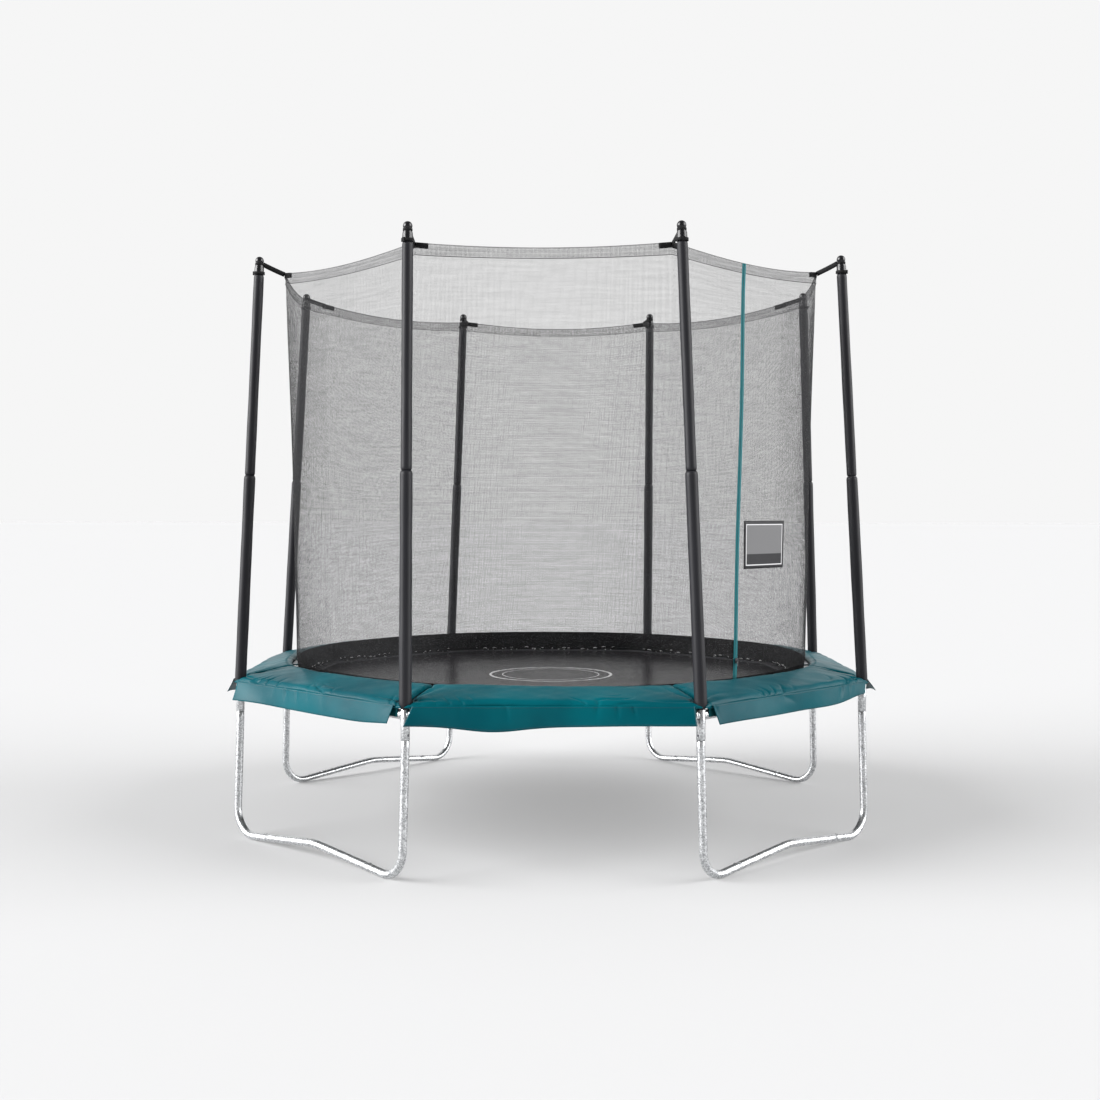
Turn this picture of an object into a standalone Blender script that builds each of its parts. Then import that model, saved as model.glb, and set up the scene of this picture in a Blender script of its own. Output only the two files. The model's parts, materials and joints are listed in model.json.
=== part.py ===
"""Eight-sided garden trampoline with a safety net, modelled piece by piece in metres, +Z up.

The origin is on the ground under the middle of the mat. Corner 0 is a little clockwise
of the -Y direction seen from above, and corners and sides are counted anticlockwise.
"""
import math

import bmesh
import bpy
from mathutils import Matrix, Vector

# ---------------------------------------------------------------- driving dimensions
SIDES = 8
STEP = 2 * math.pi / SIDES
CORNER_0 = math.radians(247.5)
CORNER_R = 1.460            # from the centre to the axis of a corner upright
INRADIUS = CORNER_R * math.cos(STEP / 2)
HALF_SIDE = CORNER_R * math.sin(STEP / 2)
GAP = 0.0004                # air between pieces that touch on the real object

TUBE_R = 0.0165             # galvanised frame and leg tube
SOCKET_R = 0.0188           # sleeve welded round a tube end
STUB_R = 0.0176             # upright of a corner fitting
BORE_R = 0.0142             # inside of every tube that takes a spigot
SPIGOT_R = BORE_R - GAP
RAIL_Z = 0.638
SOCKET_REACH = 0.085        # how far a corner socket reaches along a side
RAIL_SPIGOT_FROM = 0.045    # from a corner to the tip of the rail's spigot
STUB_BOTTOM = 0.543
STUB_TOP = 0.660

LEG_SPLAY = 0.014           # how far a foot stands outside its corner
FOOT_INSET = 0.122          # from the corner line to where the foot touches down
LEG_BEND_R = 0.108
LEG_BAR_REACH = 0.335       # half the length of the middle bar
LEG_KINK_Z = 0.060          # height of the middle bar's kink
LEG_SIDES = (1, 3, 5, 7)    # sides that carry a leg, the four diagonal ones
LEG_LEAN_DROP = 0.030       # straight part of a leg under its joint
LEG_SPIGOT_HIGH = 0.045     # of a leg in its corner upright
BAR_SPIGOT_LONG = 0.045     # of the middle bar in a leg's end tube

POLE_BOTTOM = 0.6625
POLE_JOINT = 1.560
POLE_TOP = 2.434
POLE_TOP_R = 1.366
POLE_TWIST = math.radians(-1.6)
LOWER_SLEEVE_R = 0.0240
UPPER_SLEEVE_R = 0.0214
POLE_BORE_R = 0.0150
CAP_HEIGHT = 0.079
BALL_R = 0.0185
ARM_HEIGHT = 0.010          # of the net's arm above the foot of the cap
ARM_SIZE = (0.014, 0.007)
SPIGOT_DEPTH = 0.042        # of a pole in its corner upright
JOINT_OVERLAP = 0.060       # of the upper pole tube in the lower one

MAT_TOP = 0.641
MAT_THICK = 0.006
MAT_INRADIUS = 1.165
MAT_BOW = 0.36
SPRINGS_PER_SIDE = 6
SPRING_R = 0.0080
SPRING_SPREAD = 0.92        # stretch of each side that the springs share
SPRING_CLEAR = 0.0035       # from a spring's end to the rail it hooks into
HEM_WIDE = 0.012
HEM_THICK = 0.007

PAD_INNER = 1.200
PAD_BOW = 0.60
PAD_RIDGE = 1.383
PAD_END_GAP = 0.006
POLE_NOTCH_R = 0.034
PAD_STEPS = 8               # lengths that a pad is skinned in
PAD_TOP_SECTION = [         # share of the way from inner edge to ridge, and height
    (0.0, 0.722), (0.07, 0.7275), (0.20, 0.7270), (0.45, 0.7140), (0.80, 0.6960), (0.95, 0.6870),
    (1.0, 0.6780),
]
PAD_FLAP_SECTION = [        # distance outside the ridge, and height
    (0.004, 0.650), (0.006, 0.602), (0.002, 0.602), (-0.005, 0.660),
]
PAD_UNDER_SECTION = [(0.86, 0.6665), (0.45, 0.6860), (0.10, 0.7010), (0.015, 0.7020)]

NET_BOTTOM = 0.695
NET_TOP = 2.436
NET_BOTTOM_INRADIUS = 1.180
NET_TOP_INRADIUS = 1.190
NET_BOW = 0.45
NET_THICK = 0.004

ZIP_LOW = (math.radians(308.9), 0.735)      # direction from the centre and height
ZIP_HIGH = (math.radians(311.0), 2.392)
ZIP_WIDE = 0.022
ZIP_THICK = 0.0025
SLIDER_HEIGHT = 0.800
SLIDER_SIZE = (0.014, 0.006, 0.024)         # across the zip, out of it and up it
SLIDER_EAR_SIZE = (0.002, 0.0070, 0.007)
SLIDER_EAR_OUT = 0.0080
PULL_SIZE = (0.0070, 0.0024, 0.030)
PULL_DROP = 0.0135          # from the pull's pin to its middle
PIN_OUT = 0.0085            # from the tape to the pin
PIN_UP = 0.006              # from the slider's middle to the pin
PATCH_FROM = math.radians(311.6)
PATCH_TO = math.radians(325.6)
PATCH_LOW = 1.172
PATCH_HIGH = 1.370
PATCH_THICK = 0.0015
PATCH_CLEAR = 0.0006

# ---------------------------------------------------------------- scene and helpers
for leftover in list(bpy.data.objects):
    bpy.data.objects.remove(leftover, do_unlink=True)

parts = bpy.data.collections.new("trampoline")
cutters = bpy.data.collections.new("cutters")
bpy.context.scene.collection.children.link(parts)
bpy.context.scene.collection.children.link(cutters)


def make_material(name, colour, roughness, metallic=0.0):
    """A plain Principled material."""
    made = bpy.data.materials.new(name)
    made.use_nodes = True
    shader = made.node_tree.nodes["Principled BSDF"]
    shader.inputs["Base Color"].default_value = (*colour, 1.0)
    shader.inputs["Roughness"].default_value = roughness
    shader.inputs["Metallic"].default_value = metallic
    return made


GALVANISED = make_material("galvanised_steel", (0.62, 0.63, 0.64), 0.38, 0.9)
FOAM = make_material("charcoal_foam_sleeve", (0.045, 0.047, 0.052), 0.6)
CAP_PLASTIC = make_material("black_gloss_plastic", (0.012, 0.012, 0.013), 0.25)
PAD_VINYL = make_material("teal_vinyl", (0.0, 0.125, 0.155), 0.35)
MAT_WEAVE = make_material("dark_grey_weave", (0.075, 0.072, 0.078), 0.75)
SPRING_STEEL = make_material("zinc_spring_wire", (0.66, 0.66, 0.65), 0.3, 1.0)
NET_MESH = make_material("grey_netting", (0.30, 0.30, 0.31), 0.8)
ZIP_TAPE = make_material("teal_zip_tape", (0.0, 0.19, 0.21), 0.6)
ZIP_METAL = make_material("dark_zip_metal", (0.10, 0.10, 0.11), 0.35, 0.8)
PATCH_CLOTH = make_material("black_patch", (0.02, 0.02, 0.022), 0.6)


def add_object(name, mesh, material=None, collection=None):
    """An object of this mesh in the parts, or in another collection."""
    made = bpy.data.objects.new(name, mesh)
    (collection or parts).objects.link(made)
    if material:
        mesh.materials.append(material)
    if collection is cutters:
        made.hide_render = True
        made.display_type = "WIRE"
    return made


def polar(radius, angle, height):
    """The point this far from the centre line, in this direction, at this height."""
    return Vector((radius * math.cos(angle), radius * math.sin(angle), height))


def corner_angle(index):
    return CORNER_0 + index * STEP


def corner(index, height=0.0, radius=CORNER_R):
    return polar(radius, corner_angle(index), height)


def outline_radius(angle, inradius, bow):
    """Distance to an eight-sided outline whose sides bow out, so its corners are blunter."""
    from_middle = (angle - CORNER_0) % STEP - STEP / 2
    return inradius * (1 + (1 - bow) * (1 / math.cos(from_middle) - 1))


def along(start, end):
    """The turn that takes +Z to the direction from start to end, placed at start."""
    turn = (end - start).to_track_quat("Z", "Y").to_matrix().to_4x4()
    return Matrix.Translation(start) @ turn


def rod(name, start, end, radius, material=None, collection=None, segments=12):
    """A round solid between two points, with its origin at the first."""
    mesh = bpy.data.meshes.new(name)
    shape = bmesh.new()
    length = (end - start).length
    bmesh.ops.create_cone(
        shape, cap_ends=True, segments=segments, radius1=radius, radius2=radius,
        depth=length, matrix=Matrix.Translation((0, 0, length / 2)),
    )
    shape.to_mesh(mesh)
    shape.free()
    made = add_object(name, mesh, material, collection)
    made.matrix_world = along(start, end)
    return made


def combine(target, other, operation):
    """Adds or cuts another solid with an exact Boolean modifier."""
    modifier = target.modifiers.new(operation.lower(), "BOOLEAN")
    modifier.operation = operation
    modifier.solver = "EXACT"
    modifier.object = other


def bent_tube(name, points, radius, material):
    """A tube along a polyline, as a closed mesh with its caps welded on."""
    data = bpy.data.curves.new(name, "CURVE")
    data.dimensions = "3D"
    data.bevel_depth = radius
    data.bevel_resolution = 2
    data.use_fill_caps = True
    line = data.splines.new("POLY")
    line.points.add(len(points) - 1)
    for point, place in zip(line.points, points):
        point.co = (*place, 1.0)
    curve = bpy.data.objects.new(name + "_curve", data)
    parts.objects.link(curve)
    bpy.context.view_layer.update()
    evaluated = curve.evaluated_get(bpy.context.evaluated_depsgraph_get())
    mesh = bpy.data.meshes.new_from_object(evaluated)
    mesh.name = name
    place = curve.matrix_world.copy()
    bpy.data.objects.remove(curve, do_unlink=True)
    shape = bmesh.new()
    shape.from_mesh(mesh)
    bmesh.ops.remove_doubles(shape, verts=shape.verts, dist=0.00005)
    shape.to_mesh(mesh)
    shape.free()
    made = add_object(name, mesh, material)
    made.matrix_world = place
    return made


def turned(name, profile, start, end, material, steps=12):
    """A profile of (radius, height) points, top to bottom, turned about start to end."""
    mesh = bpy.data.meshes.new(name)
    points = [(radius, 0, height) for radius, height in profile]
    mesh.from_pydata(points, [(i, i + 1) for i in range(len(points) - 1)], [])
    made = add_object(name, mesh, material)
    made.matrix_world = along(start, end)
    screw = made.modifiers.new("turn", "SCREW")
    screw.steps = screw.render_steps = steps
    screw.use_merge_vertices = True
    screw.merge_threshold = 0.00005
    screw.use_normal_calculate = True
    return made


def closed_loft(name, rings, material, looped=False):
    """Skins equal rings of points, in order, with end caps or with last joined to first."""
    shape = bmesh.new()
    rows = [[shape.verts.new(point) for point in ring] for ring in rings]
    pairs = list(zip(rows, rows[1:]))
    if looped:
        pairs.append((rows[-1], rows[0]))
    for near, far in pairs:
        count = len(near)
        for i in range(count):
            j = (i + 1) % count
            shape.faces.new((near[i], near[j], far[j], far[i]))
    if not looped:
        shape.faces.new(rows[0])
        shape.faces.new(rows[-1])
    bmesh.ops.recalc_face_normals(shape, faces=shape.faces)
    mesh = bpy.data.meshes.new(name)
    shape.to_mesh(mesh)
    shape.free()
    return add_object(name, mesh, material)


# ---------------------------------------------------------------- legs
def side_point(side, offset, height, splay=0.0):
    """A point on a side's upright plane, offset from its middle along the side."""
    middle = corner_angle(side) + STEP / 2
    outward = Vector((math.cos(middle), math.sin(middle), 0))
    onward = Vector((-math.sin(middle), math.cos(middle), 0))
    return outward * (INRADIUS + splay) + onward * offset + Vector((0, 0, height))


def leg_height(offset):
    """Height of the bottom bar's centre line, which rises from each foot to the kink."""
    rise = 1 - abs(offset) / (HALF_SIDE - FOOT_INSET)
    return TUBE_R + (LEG_KINK_Z - TUBE_R) * rise


def build_leg_end(number, side, sign):
    """One bent end tube: a spigot into the frame, the upright, the bend and the foot."""
    top = side_point(side, sign * HALF_SIDE, STUB_BOTTOM - GAP)
    lean_from = side_point(side, sign * HALF_SIDE, STUB_BOTTOM - LEG_LEAN_DROP)
    points = [top, lean_from]
    foot = HALF_SIDE - FOOT_INSET
    bend_centre_z = TUBE_R + LEG_BEND_R
    bend_x = HALF_SIDE - LEG_BEND_R
    bend_steps = 6
    for i in range(bend_steps + 1):
        angle = math.radians(90) * i / bend_steps
        offset = bend_x + LEG_BEND_R * math.cos(angle)
        height = bend_centre_z - LEG_BEND_R * math.sin(angle)
        points.append(side_point(side, sign * offset, height, LEG_SPLAY))
    points.append(side_point(side, sign * foot, TUBE_R, LEG_SPLAY))
    end_offset = LEG_BAR_REACH + GAP
    points.append(side_point(side, sign * end_offset, leg_height(end_offset), LEG_SPLAY))
    leg = bent_tube(f"leg_end_{number}", points, TUBE_R, GALVANISED)
    spigot_base = side_point(side, sign * HALF_SIDE, STUB_BOTTOM - LEG_LEAN_DROP + 0.005)
    spigot_top = side_point(side, sign * HALF_SIDE, STUB_BOTTOM + LEG_SPIGOT_HIGH)
    spigot = rod(f"leg_spigot_{number}", spigot_base, spigot_top, SPIGOT_R, None, cutters)
    combine(leg, spigot, "UNION")
    outside, inside = end_offset - 0.02, end_offset + BAR_SPIGOT_LONG + 0.015
    mouth = side_point(side, sign * outside, leg_height(outside), LEG_SPLAY)
    inside = side_point(side, sign * inside, leg_height(inside), LEG_SPLAY)
    combine(leg, rod(f"leg_bore_{number}", mouth, inside, BORE_R, None, cutters), "DIFFERENCE")


def build_leg_bar(number, side):
    """The kinked middle bar, with a narrower spigot that enters each bent end tube."""
    ends = []
    for sign in (-1, 1):
        ends.append(side_point(side, sign * LEG_BAR_REACH, leg_height(LEG_BAR_REACH), LEG_SPLAY))
    flat = 0.04
    kink = []
    for x in (-flat, 0, flat):
        kink.append(side_point(side, x, leg_height((abs(x) + flat) / 2), LEG_SPLAY))
    bar = bent_tube(f"leg_bar_{number}", [ends[0], *kink, ends[1]], TUBE_R, GALVANISED)
    for sign, end in zip((-1, 1), ends):
        deep = LEG_BAR_REACH + BAR_SPIGOT_LONG
        tip = side_point(side, sign * deep, leg_height(deep), LEG_SPLAY)
        root = end + (end - tip) * 0.5
        name = f"bar_spigot_{number}_{'a' if sign < 0 else 'b'}"
        combine(bar, rod(name, root, tip, SPIGOT_R, None, cutters), "UNION")


def build_legs():
    number = 1
    for count, side in enumerate(LEG_SIDES, start=1):
        build_leg_bar(count, side)
        for sign in (-1, 1):
            build_leg_end(number, side, sign)
            number += 1


# ---------------------------------------------------------------- frame
def build_frame_rail(index):
    """A top rail with the corner fitting welded at its start and a spigot at its end."""
    start = corner(index, RAIL_Z)
    end = corner(index + 1, RAIL_Z)
    onward = (end - start).normalized()
    backward = (corner(index - 1, RAIL_Z) - start).normalized()
    stub = rod(f"frame_rail_{index + 1}", corner(index, STUB_BOTTOM), corner(index, STUB_TOP),
               STUB_R, GALVANISED)
    tube_end = end - onward * (SOCKET_REACH + GAP)
    extras = [
        ("sleeve_on", start + onward * 0.005, start + onward * SOCKET_REACH, SOCKET_R),
        ("sleeve_back", start + backward * 0.007, start + backward * SOCKET_REACH, SOCKET_R),
        ("tube", start + onward * 0.03, tube_end, TUBE_R),
        ("tube_spigot", tube_end - onward * 0.02, end - onward * RAIL_SPIGOT_FROM, SPIGOT_R),
    ]
    for label, first, last, radius in extras:
        extra = rod(f"{label}_{index}", first, last, radius, None, cutters)
        combine(stub, extra, "UNION")
    below = corner(index, STUB_BOTTOM - 0.01)
    above = corner(index, STUB_TOP + 0.01)
    combine(stub, rod(f"stub_bore_{index}", below, above, BORE_R, None, cutters), "DIFFERENCE")
    mouth = start + backward * (SOCKET_REACH + 0.01)
    socket = rod(f"socket_bore_{index}", start + backward * 0.03, mouth, BORE_R, None, cutters)
    combine(stub, socket, "DIFFERENCE")


# ---------------------------------------------------------------- poles and caps
def pole_point(index, height):
    """A point on a pole's axis, which leans inwards and a little round the frame."""
    share = (height - POLE_BOTTOM) / (POLE_TOP - POLE_BOTTOM)
    radius = CORNER_R + (POLE_TOP_R - CORNER_R) * share
    return polar(radius, corner_angle(index) + POLE_TWIST * share, height)


def build_pole(index):
    """Lower and upper sleeved tubes, spigoted into the frame and into each other."""
    base = pole_point(index, POLE_BOTTOM)
    joint = pole_point(index, POLE_JOINT)
    top = pole_point(index, POLE_TOP)
    lower_long = (joint - base).length
    upper_long = (top - joint).length
    rounding = 0.004
    lower = turned(
        f"pole_lower_{index + 1}",
        [(0, lower_long), (LOWER_SLEEVE_R - rounding, lower_long),
         (LOWER_SLEEVE_R, lower_long - rounding), (LOWER_SLEEVE_R, 0), (0, 0)],
        base, joint, FOAM,
    )
    spigot = rod(f"pole_spigot_{index}", corner(index, STUB_TOP - SPIGOT_DEPTH),
                 corner(index, POLE_BOTTOM + 0.03), SPIGOT_R, None, cutters)
    combine(lower, spigot, "UNION")
    axis = (joint - base).normalized()
    bore = rod(f"pole_bore_{index}", joint - axis * (JOINT_OVERLAP + 0.01), joint + axis * 0.02,
               POLE_BORE_R, None, cutters)
    combine(lower, bore, "DIFFERENCE")
    upper_start = joint + axis * GAP
    tube_r = POLE_BORE_R - GAP
    turned(
        f"pole_upper_{index + 1}",
        [(0, upper_long - GAP), (UPPER_SLEEVE_R, upper_long - GAP), (UPPER_SLEEVE_R, 0.002),
         (UPPER_SLEEVE_R - 0.002, 0), (tube_r, 0), (tube_r, -JOINT_OVERLAP), (0, -JOINT_OVERLAP)],
        upper_start, top, FOAM,
    )


def build_pole_cap(index):
    """A ball-topped cap with the short arm that holds the net's corner."""
    top = pole_point(index, POLE_TOP)
    axis = (top - pole_point(index, POLE_JOINT)).normalized()
    profile = [(0, CAP_HEIGHT)]
    ball_z = CAP_HEIGHT - BALL_R
    ball_steps = 5
    for i in range(1, ball_steps + 1):
        angle = math.radians(138) * i / ball_steps
        profile.append((BALL_R * math.sin(angle), ball_z + BALL_R * math.cos(angle)))
    profile += [(0.0130, 0.042), (0.0195, 0.037), (0.0205, 0.030), (0.0205, 0.012),
                (0.0228, 0.009), (0.0228, GAP), (0, GAP)]
    cap = turned(f"pole_cap_{index + 1}", profile, top, top + axis, CAP_PLASTIC)
    angle = corner_angle(index) + POLE_TWIST
    reach = outline_radius(corner_angle(index), NET_TOP_INRADIUS, NET_BOW) + NET_THICK / 2 + 0.002
    root = top + axis * ARM_HEIGHT
    tip = polar(reach, angle, root.z)
    mesh = bpy.data.meshes.new(f"net_arm_{index}")
    shape = bmesh.new()
    bmesh.ops.create_cube(shape, size=1.0)
    shape.to_mesh(mesh)
    shape.free()
    arm = add_object(f"net_arm_{index}", mesh, None, cutters)
    long = (root - tip).length
    centre = (root + tip) / 2
    size = Matrix.Diagonal((*ARM_SIZE, long, 1.0))
    arm.matrix_world = Matrix.Translation(centre) @ along(Vector(), tip - root) @ size
    combine(cap, arm, "UNION")


# ---------------------------------------------------------------- mat and springs
def ring_points(inradius, bow, height, per_side=6):
    """Points round a bowed eight-sided outline, one at every corner."""
    count = SIDES * per_side
    points = []
    for i in range(count):
        angle = CORNER_0 + 2 * math.pi * i / count
        points.append(polar(outline_radius(angle, inradius, bow), angle, height))
    return points


def build_mat():
    """The jumping mat: a flat outline with thickness, its origin on its slide axis."""
    data = bpy.data.curves.new("mat", "CURVE")
    data.dimensions = "2D"
    data.fill_mode = "BOTH"
    data.extrude = MAT_THICK / 2
    points = ring_points(MAT_INRADIUS, MAT_BOW, 0)
    line = data.splines.new("POLY")
    line.points.add(len(points) - 1)
    for point, place in zip(line.points, points):
        point.co = (*place, 1.0)
    line.use_cyclic_u = True
    mat = bpy.data.objects.new("mat", data)
    parts.objects.link(mat)
    mat.location.z = MAT_TOP - MAT_THICK / 2
    data.materials.append(MAT_WEAVE)


def build_spring_set():
    """The hem webbing round the mat and the coil springs that pull it to the rails."""
    inner = MAT_INRADIUS + 0.001
    middle = MAT_TOP - MAT_THICK / 2
    half = HEM_THICK / 2
    rings = []
    count = SIDES * 6
    for i in range(count):
        angle = CORNER_0 + 2 * math.pi * i / count
        near = outline_radius(angle, inner, MAT_BOW)
        far = near + HEM_WIDE
        rings.append([polar(near, angle, middle - half), polar(far, angle, middle - half),
                      polar(far, angle, middle + half), polar(near, angle, middle + half)])
    springs = closed_loft("spring_set", rings, SPRING_STEEL, looped=True)
    rail_inside = INRADIUS - TUBE_R - SPRING_CLEAR
    for side in range(SIDES):
        outward = corner_angle(side) + STEP / 2
        normal = Vector((math.cos(outward), math.sin(outward), 0))
        tangent = Vector((-math.sin(outward), math.cos(outward), 0))
        for i in range(SPRINGS_PER_SIDE):
            share = (i + 0.5) / SPRINGS_PER_SIDE - 0.5
            at_rail = normal * rail_inside + tangent * (share * SPRING_SPREAD)
            direction = math.atan2(at_rail.y, at_rail.x)
            near = polar(outline_radius(direction, inner, MAT_BOW) + 0.005, direction, middle)
            far = Vector((at_rail.x, at_rail.y, RAIL_Z))
            coil = rod(f"spring_{side}_{i}", near, far, SPRING_R, None, cutters, segments=6)
            combine(springs, coil, "UNION")


# ---------------------------------------------------------------- pads
def pad_section(angle, middle):
    """One cross-section of a pad in the plane through the centre line at this angle."""
    stretch = 1 / math.cos(angle - middle)
    inner = outline_radius(angle, PAD_INNER, PAD_BOW)
    ridge = PAD_RIDGE * stretch

    def between(share):
        return inner + (ridge - inner) * share

    section = [(between(share), height) for share, height in PAD_TOP_SECTION]
    section += [((PAD_RIDGE + out) * stretch, height) for out, height in PAD_FLAP_SECTION]
    section += [(between(share), height) for share, height in PAD_UNDER_SECTION]
    return [polar(radius, angle, height) for radius, height in section]


def build_pad(index):
    """A vinyl pad over one side's springs, with its hanging edge, notched round two poles."""
    middle = corner_angle(index) + STEP / 2
    trim = PAD_END_GAP / CORNER_R
    rings = []
    for i in range(PAD_STEPS + 1):
        angle = corner_angle(index) + trim + (STEP - 2 * trim) * i / PAD_STEPS
        rings.append(pad_section(angle, middle))
    pad = closed_loft(f"pad_{index + 1}", rings, PAD_VINYL)
    for end in (index, index + 1):
        low = corner(end, RAIL_Z - 0.06)
        high = corner(end, RAIL_Z + 0.12)
        hole = rod(f"pad_notch_{index}_{end}", low, high, POLE_NOTCH_R, None, cutters)
        combine(pad, hole, "DIFFERENCE")


# ---------------------------------------------------------------- net and zip
def net_radius(angle, height):
    """Outside of the net, straight from its bottom edge to its top edge."""
    share = (height - NET_BOTTOM) / (NET_TOP - NET_BOTTOM)
    inradius = NET_BOTTOM_INRADIUS + (NET_TOP_INRADIUS - NET_BOTTOM_INRADIUS) * share
    return outline_radius(angle - POLE_TWIST * share, inradius, NET_BOW)


def build_net():
    """The netting wall, an open tube with thickness, hung between the pole tops and the mat."""
    shape = bmesh.new()
    rows = []
    count = SIDES * 6
    for height in (NET_BOTTOM, NET_TOP):
        row = []
        for i in range(count):
            angle = CORNER_0 + 2 * math.pi * i / count
            row.append(shape.verts.new(polar(net_radius(angle, height), angle, height)))
        rows.append(row)
    low, high = rows
    for i in range(count):
        j = (i + 1) % count
        shape.faces.new((low[i], low[j], high[j], high[i]))
    mesh = bpy.data.meshes.new("net")
    shape.to_mesh(mesh)
    shape.free()
    net = add_object("net", mesh, NET_MESH)
    shell = net.modifiers.new("thickness", "SOLIDIFY")
    shell.thickness = NET_THICK
    shell.offset = -1.0


def zip_frame():
    """Lower end, upper end, outward direction and sideways direction of the zip."""
    low = polar(net_radius(*ZIP_LOW) + 0.0035, *ZIP_LOW)
    high = polar(net_radius(*ZIP_HIGH) + 0.0035, *ZIP_HIGH)
    up = (high - low).normalized()
    side_normal = corner_angle(1) + STEP / 2
    outward = Vector((math.cos(side_normal), math.sin(side_normal), 0))
    sideways = up.cross(outward).normalized()
    outward = sideways.cross(up).normalized()
    return low, high, up, outward, sideways


def box_on_zip(name, centre, size, material=None, collection=None, bevel=0.0):
    """A box whose own axes run across the zip, out of it and up it, with its origin there."""
    up, outward, sideways = zip_frame()[2:]
    mesh = bpy.data.meshes.new(name)
    shape = bmesh.new()
    bmesh.ops.create_cube(shape, size=1.0, matrix=Matrix.Diagonal((*size, 1.0)))
    shape.to_mesh(mesh)
    shape.free()
    made = add_object(name, mesh, material, collection)
    turn = Matrix((sideways, outward, up)).transposed().to_4x4()
    made.matrix_world = Matrix.Translation(centre) @ turn
    if bevel:
        rounding = made.modifiers.new("edges", "BEVEL")
        rounding.width = bevel
        rounding.segments = 2
    return made


def build_zip():
    """The zip's straight tape, the slider that runs up it and the pull that hangs from that."""
    low, high, up, outward, sideways = zip_frame()
    tape_centre = (low + high) / 2 + outward * (ZIP_THICK / 2)
    box_on_zip("zip_tape", tape_centre, (ZIP_WIDE, ZIP_THICK, (high - low).length), ZIP_TAPE)
    seat = low + up * ((SLIDER_HEIGHT - low.z) / up.z) + outward * (ZIP_THICK + GAP)
    slider_centre = seat + outward * (SLIDER_SIZE[1] / 2)
    slider = box_on_zip("zip_slider", slider_centre, SLIDER_SIZE, ZIP_METAL, bevel=0.0015)
    for sign in (-1, 1):
        ear_place = seat + outward * SLIDER_EAR_OUT + up * PIN_UP + sideways * (sign * 0.0055)
        ear = box_on_zip(f"slider_ear_{sign}", ear_place, SLIDER_EAR_SIZE, None, cutters)
        combine(slider, ear, "UNION")
    pin_centre = seat + outward * PIN_OUT + up * PIN_UP
    pull = box_on_zip("zip_pull", pin_centre, PULL_SIZE, ZIP_METAL, bevel=0.0006)
    for vertex in pull.data.vertices:
        vertex.co.z -= PULL_DROP


def build_label_patch():
    """A plain sewn patch that follows the net beside the zip."""
    rings = []
    steps = 8
    for i in range(steps + 1):
        angle = PATCH_FROM + (PATCH_TO - PATCH_FROM) * i / steps
        low = net_radius(angle, PATCH_LOW) + PATCH_CLEAR
        high = net_radius(angle, PATCH_HIGH) + PATCH_CLEAR
        rings.append([polar(low, angle, PATCH_LOW), polar(low + PATCH_THICK, angle, PATCH_LOW),
                      polar(high + PATCH_THICK, angle, PATCH_HIGH),
                      polar(high, angle, PATCH_HIGH)])
    closed_loft("label_patch", rings, PATCH_CLOTH)


# ---------------------------------------------------------------- the whole object
build_legs()
for corner_index in range(SIDES):
    build_frame_rail(corner_index)
    build_pole(corner_index)
    build_pole_cap(corner_index)
    build_pad(corner_index)
build_mat()
build_spring_set()
build_net()
build_zip()
build_label_patch()
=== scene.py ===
import json
import math

import bmesh
import bpy
import numpy as np
from mathutils import Matrix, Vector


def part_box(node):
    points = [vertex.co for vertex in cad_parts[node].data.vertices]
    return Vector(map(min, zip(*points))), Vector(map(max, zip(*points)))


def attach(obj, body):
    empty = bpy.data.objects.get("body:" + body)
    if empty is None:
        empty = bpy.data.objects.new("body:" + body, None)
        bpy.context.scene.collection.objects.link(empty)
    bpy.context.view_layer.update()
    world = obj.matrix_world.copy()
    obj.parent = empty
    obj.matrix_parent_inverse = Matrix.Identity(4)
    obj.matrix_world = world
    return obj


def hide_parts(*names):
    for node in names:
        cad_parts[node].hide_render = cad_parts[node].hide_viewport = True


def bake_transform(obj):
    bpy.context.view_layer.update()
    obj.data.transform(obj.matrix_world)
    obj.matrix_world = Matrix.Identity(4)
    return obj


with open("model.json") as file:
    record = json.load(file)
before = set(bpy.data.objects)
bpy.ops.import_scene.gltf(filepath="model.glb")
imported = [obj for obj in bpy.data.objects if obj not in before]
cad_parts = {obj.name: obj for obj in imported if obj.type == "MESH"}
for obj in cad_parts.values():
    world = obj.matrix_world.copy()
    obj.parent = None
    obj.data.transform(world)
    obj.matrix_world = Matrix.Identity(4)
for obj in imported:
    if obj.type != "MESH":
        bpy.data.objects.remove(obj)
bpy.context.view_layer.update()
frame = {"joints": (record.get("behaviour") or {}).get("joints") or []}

# ------------------------------------------------------------------ camera
# Standing eye height, six and a half metres out from the flat side that has no leg under
# it, looking very slightly down. The lens is a little longer than a standard one.
camera_data = bpy.data.cameras.new("camera")
camera_data.sensor_width = 36.0
camera_data.lens = 46.03
camera_data.clip_end = 200.0
camera = bpy.data.objects.new("camera", camera_data)
bpy.context.scene.collection.objects.link(camera)
camera.matrix_world = (
    Matrix.Translation((-0.0455, -6.644, 1.402))
    @ Matrix.Rotation(-0.0061, 4, "Z")
    @ Matrix.Rotation(math.radians(90) - 0.0265, 4, "X")
    @ Matrix.Rotation(0.0018, 4, "Z")
)
bpy.context.scene.camera = camera

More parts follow.
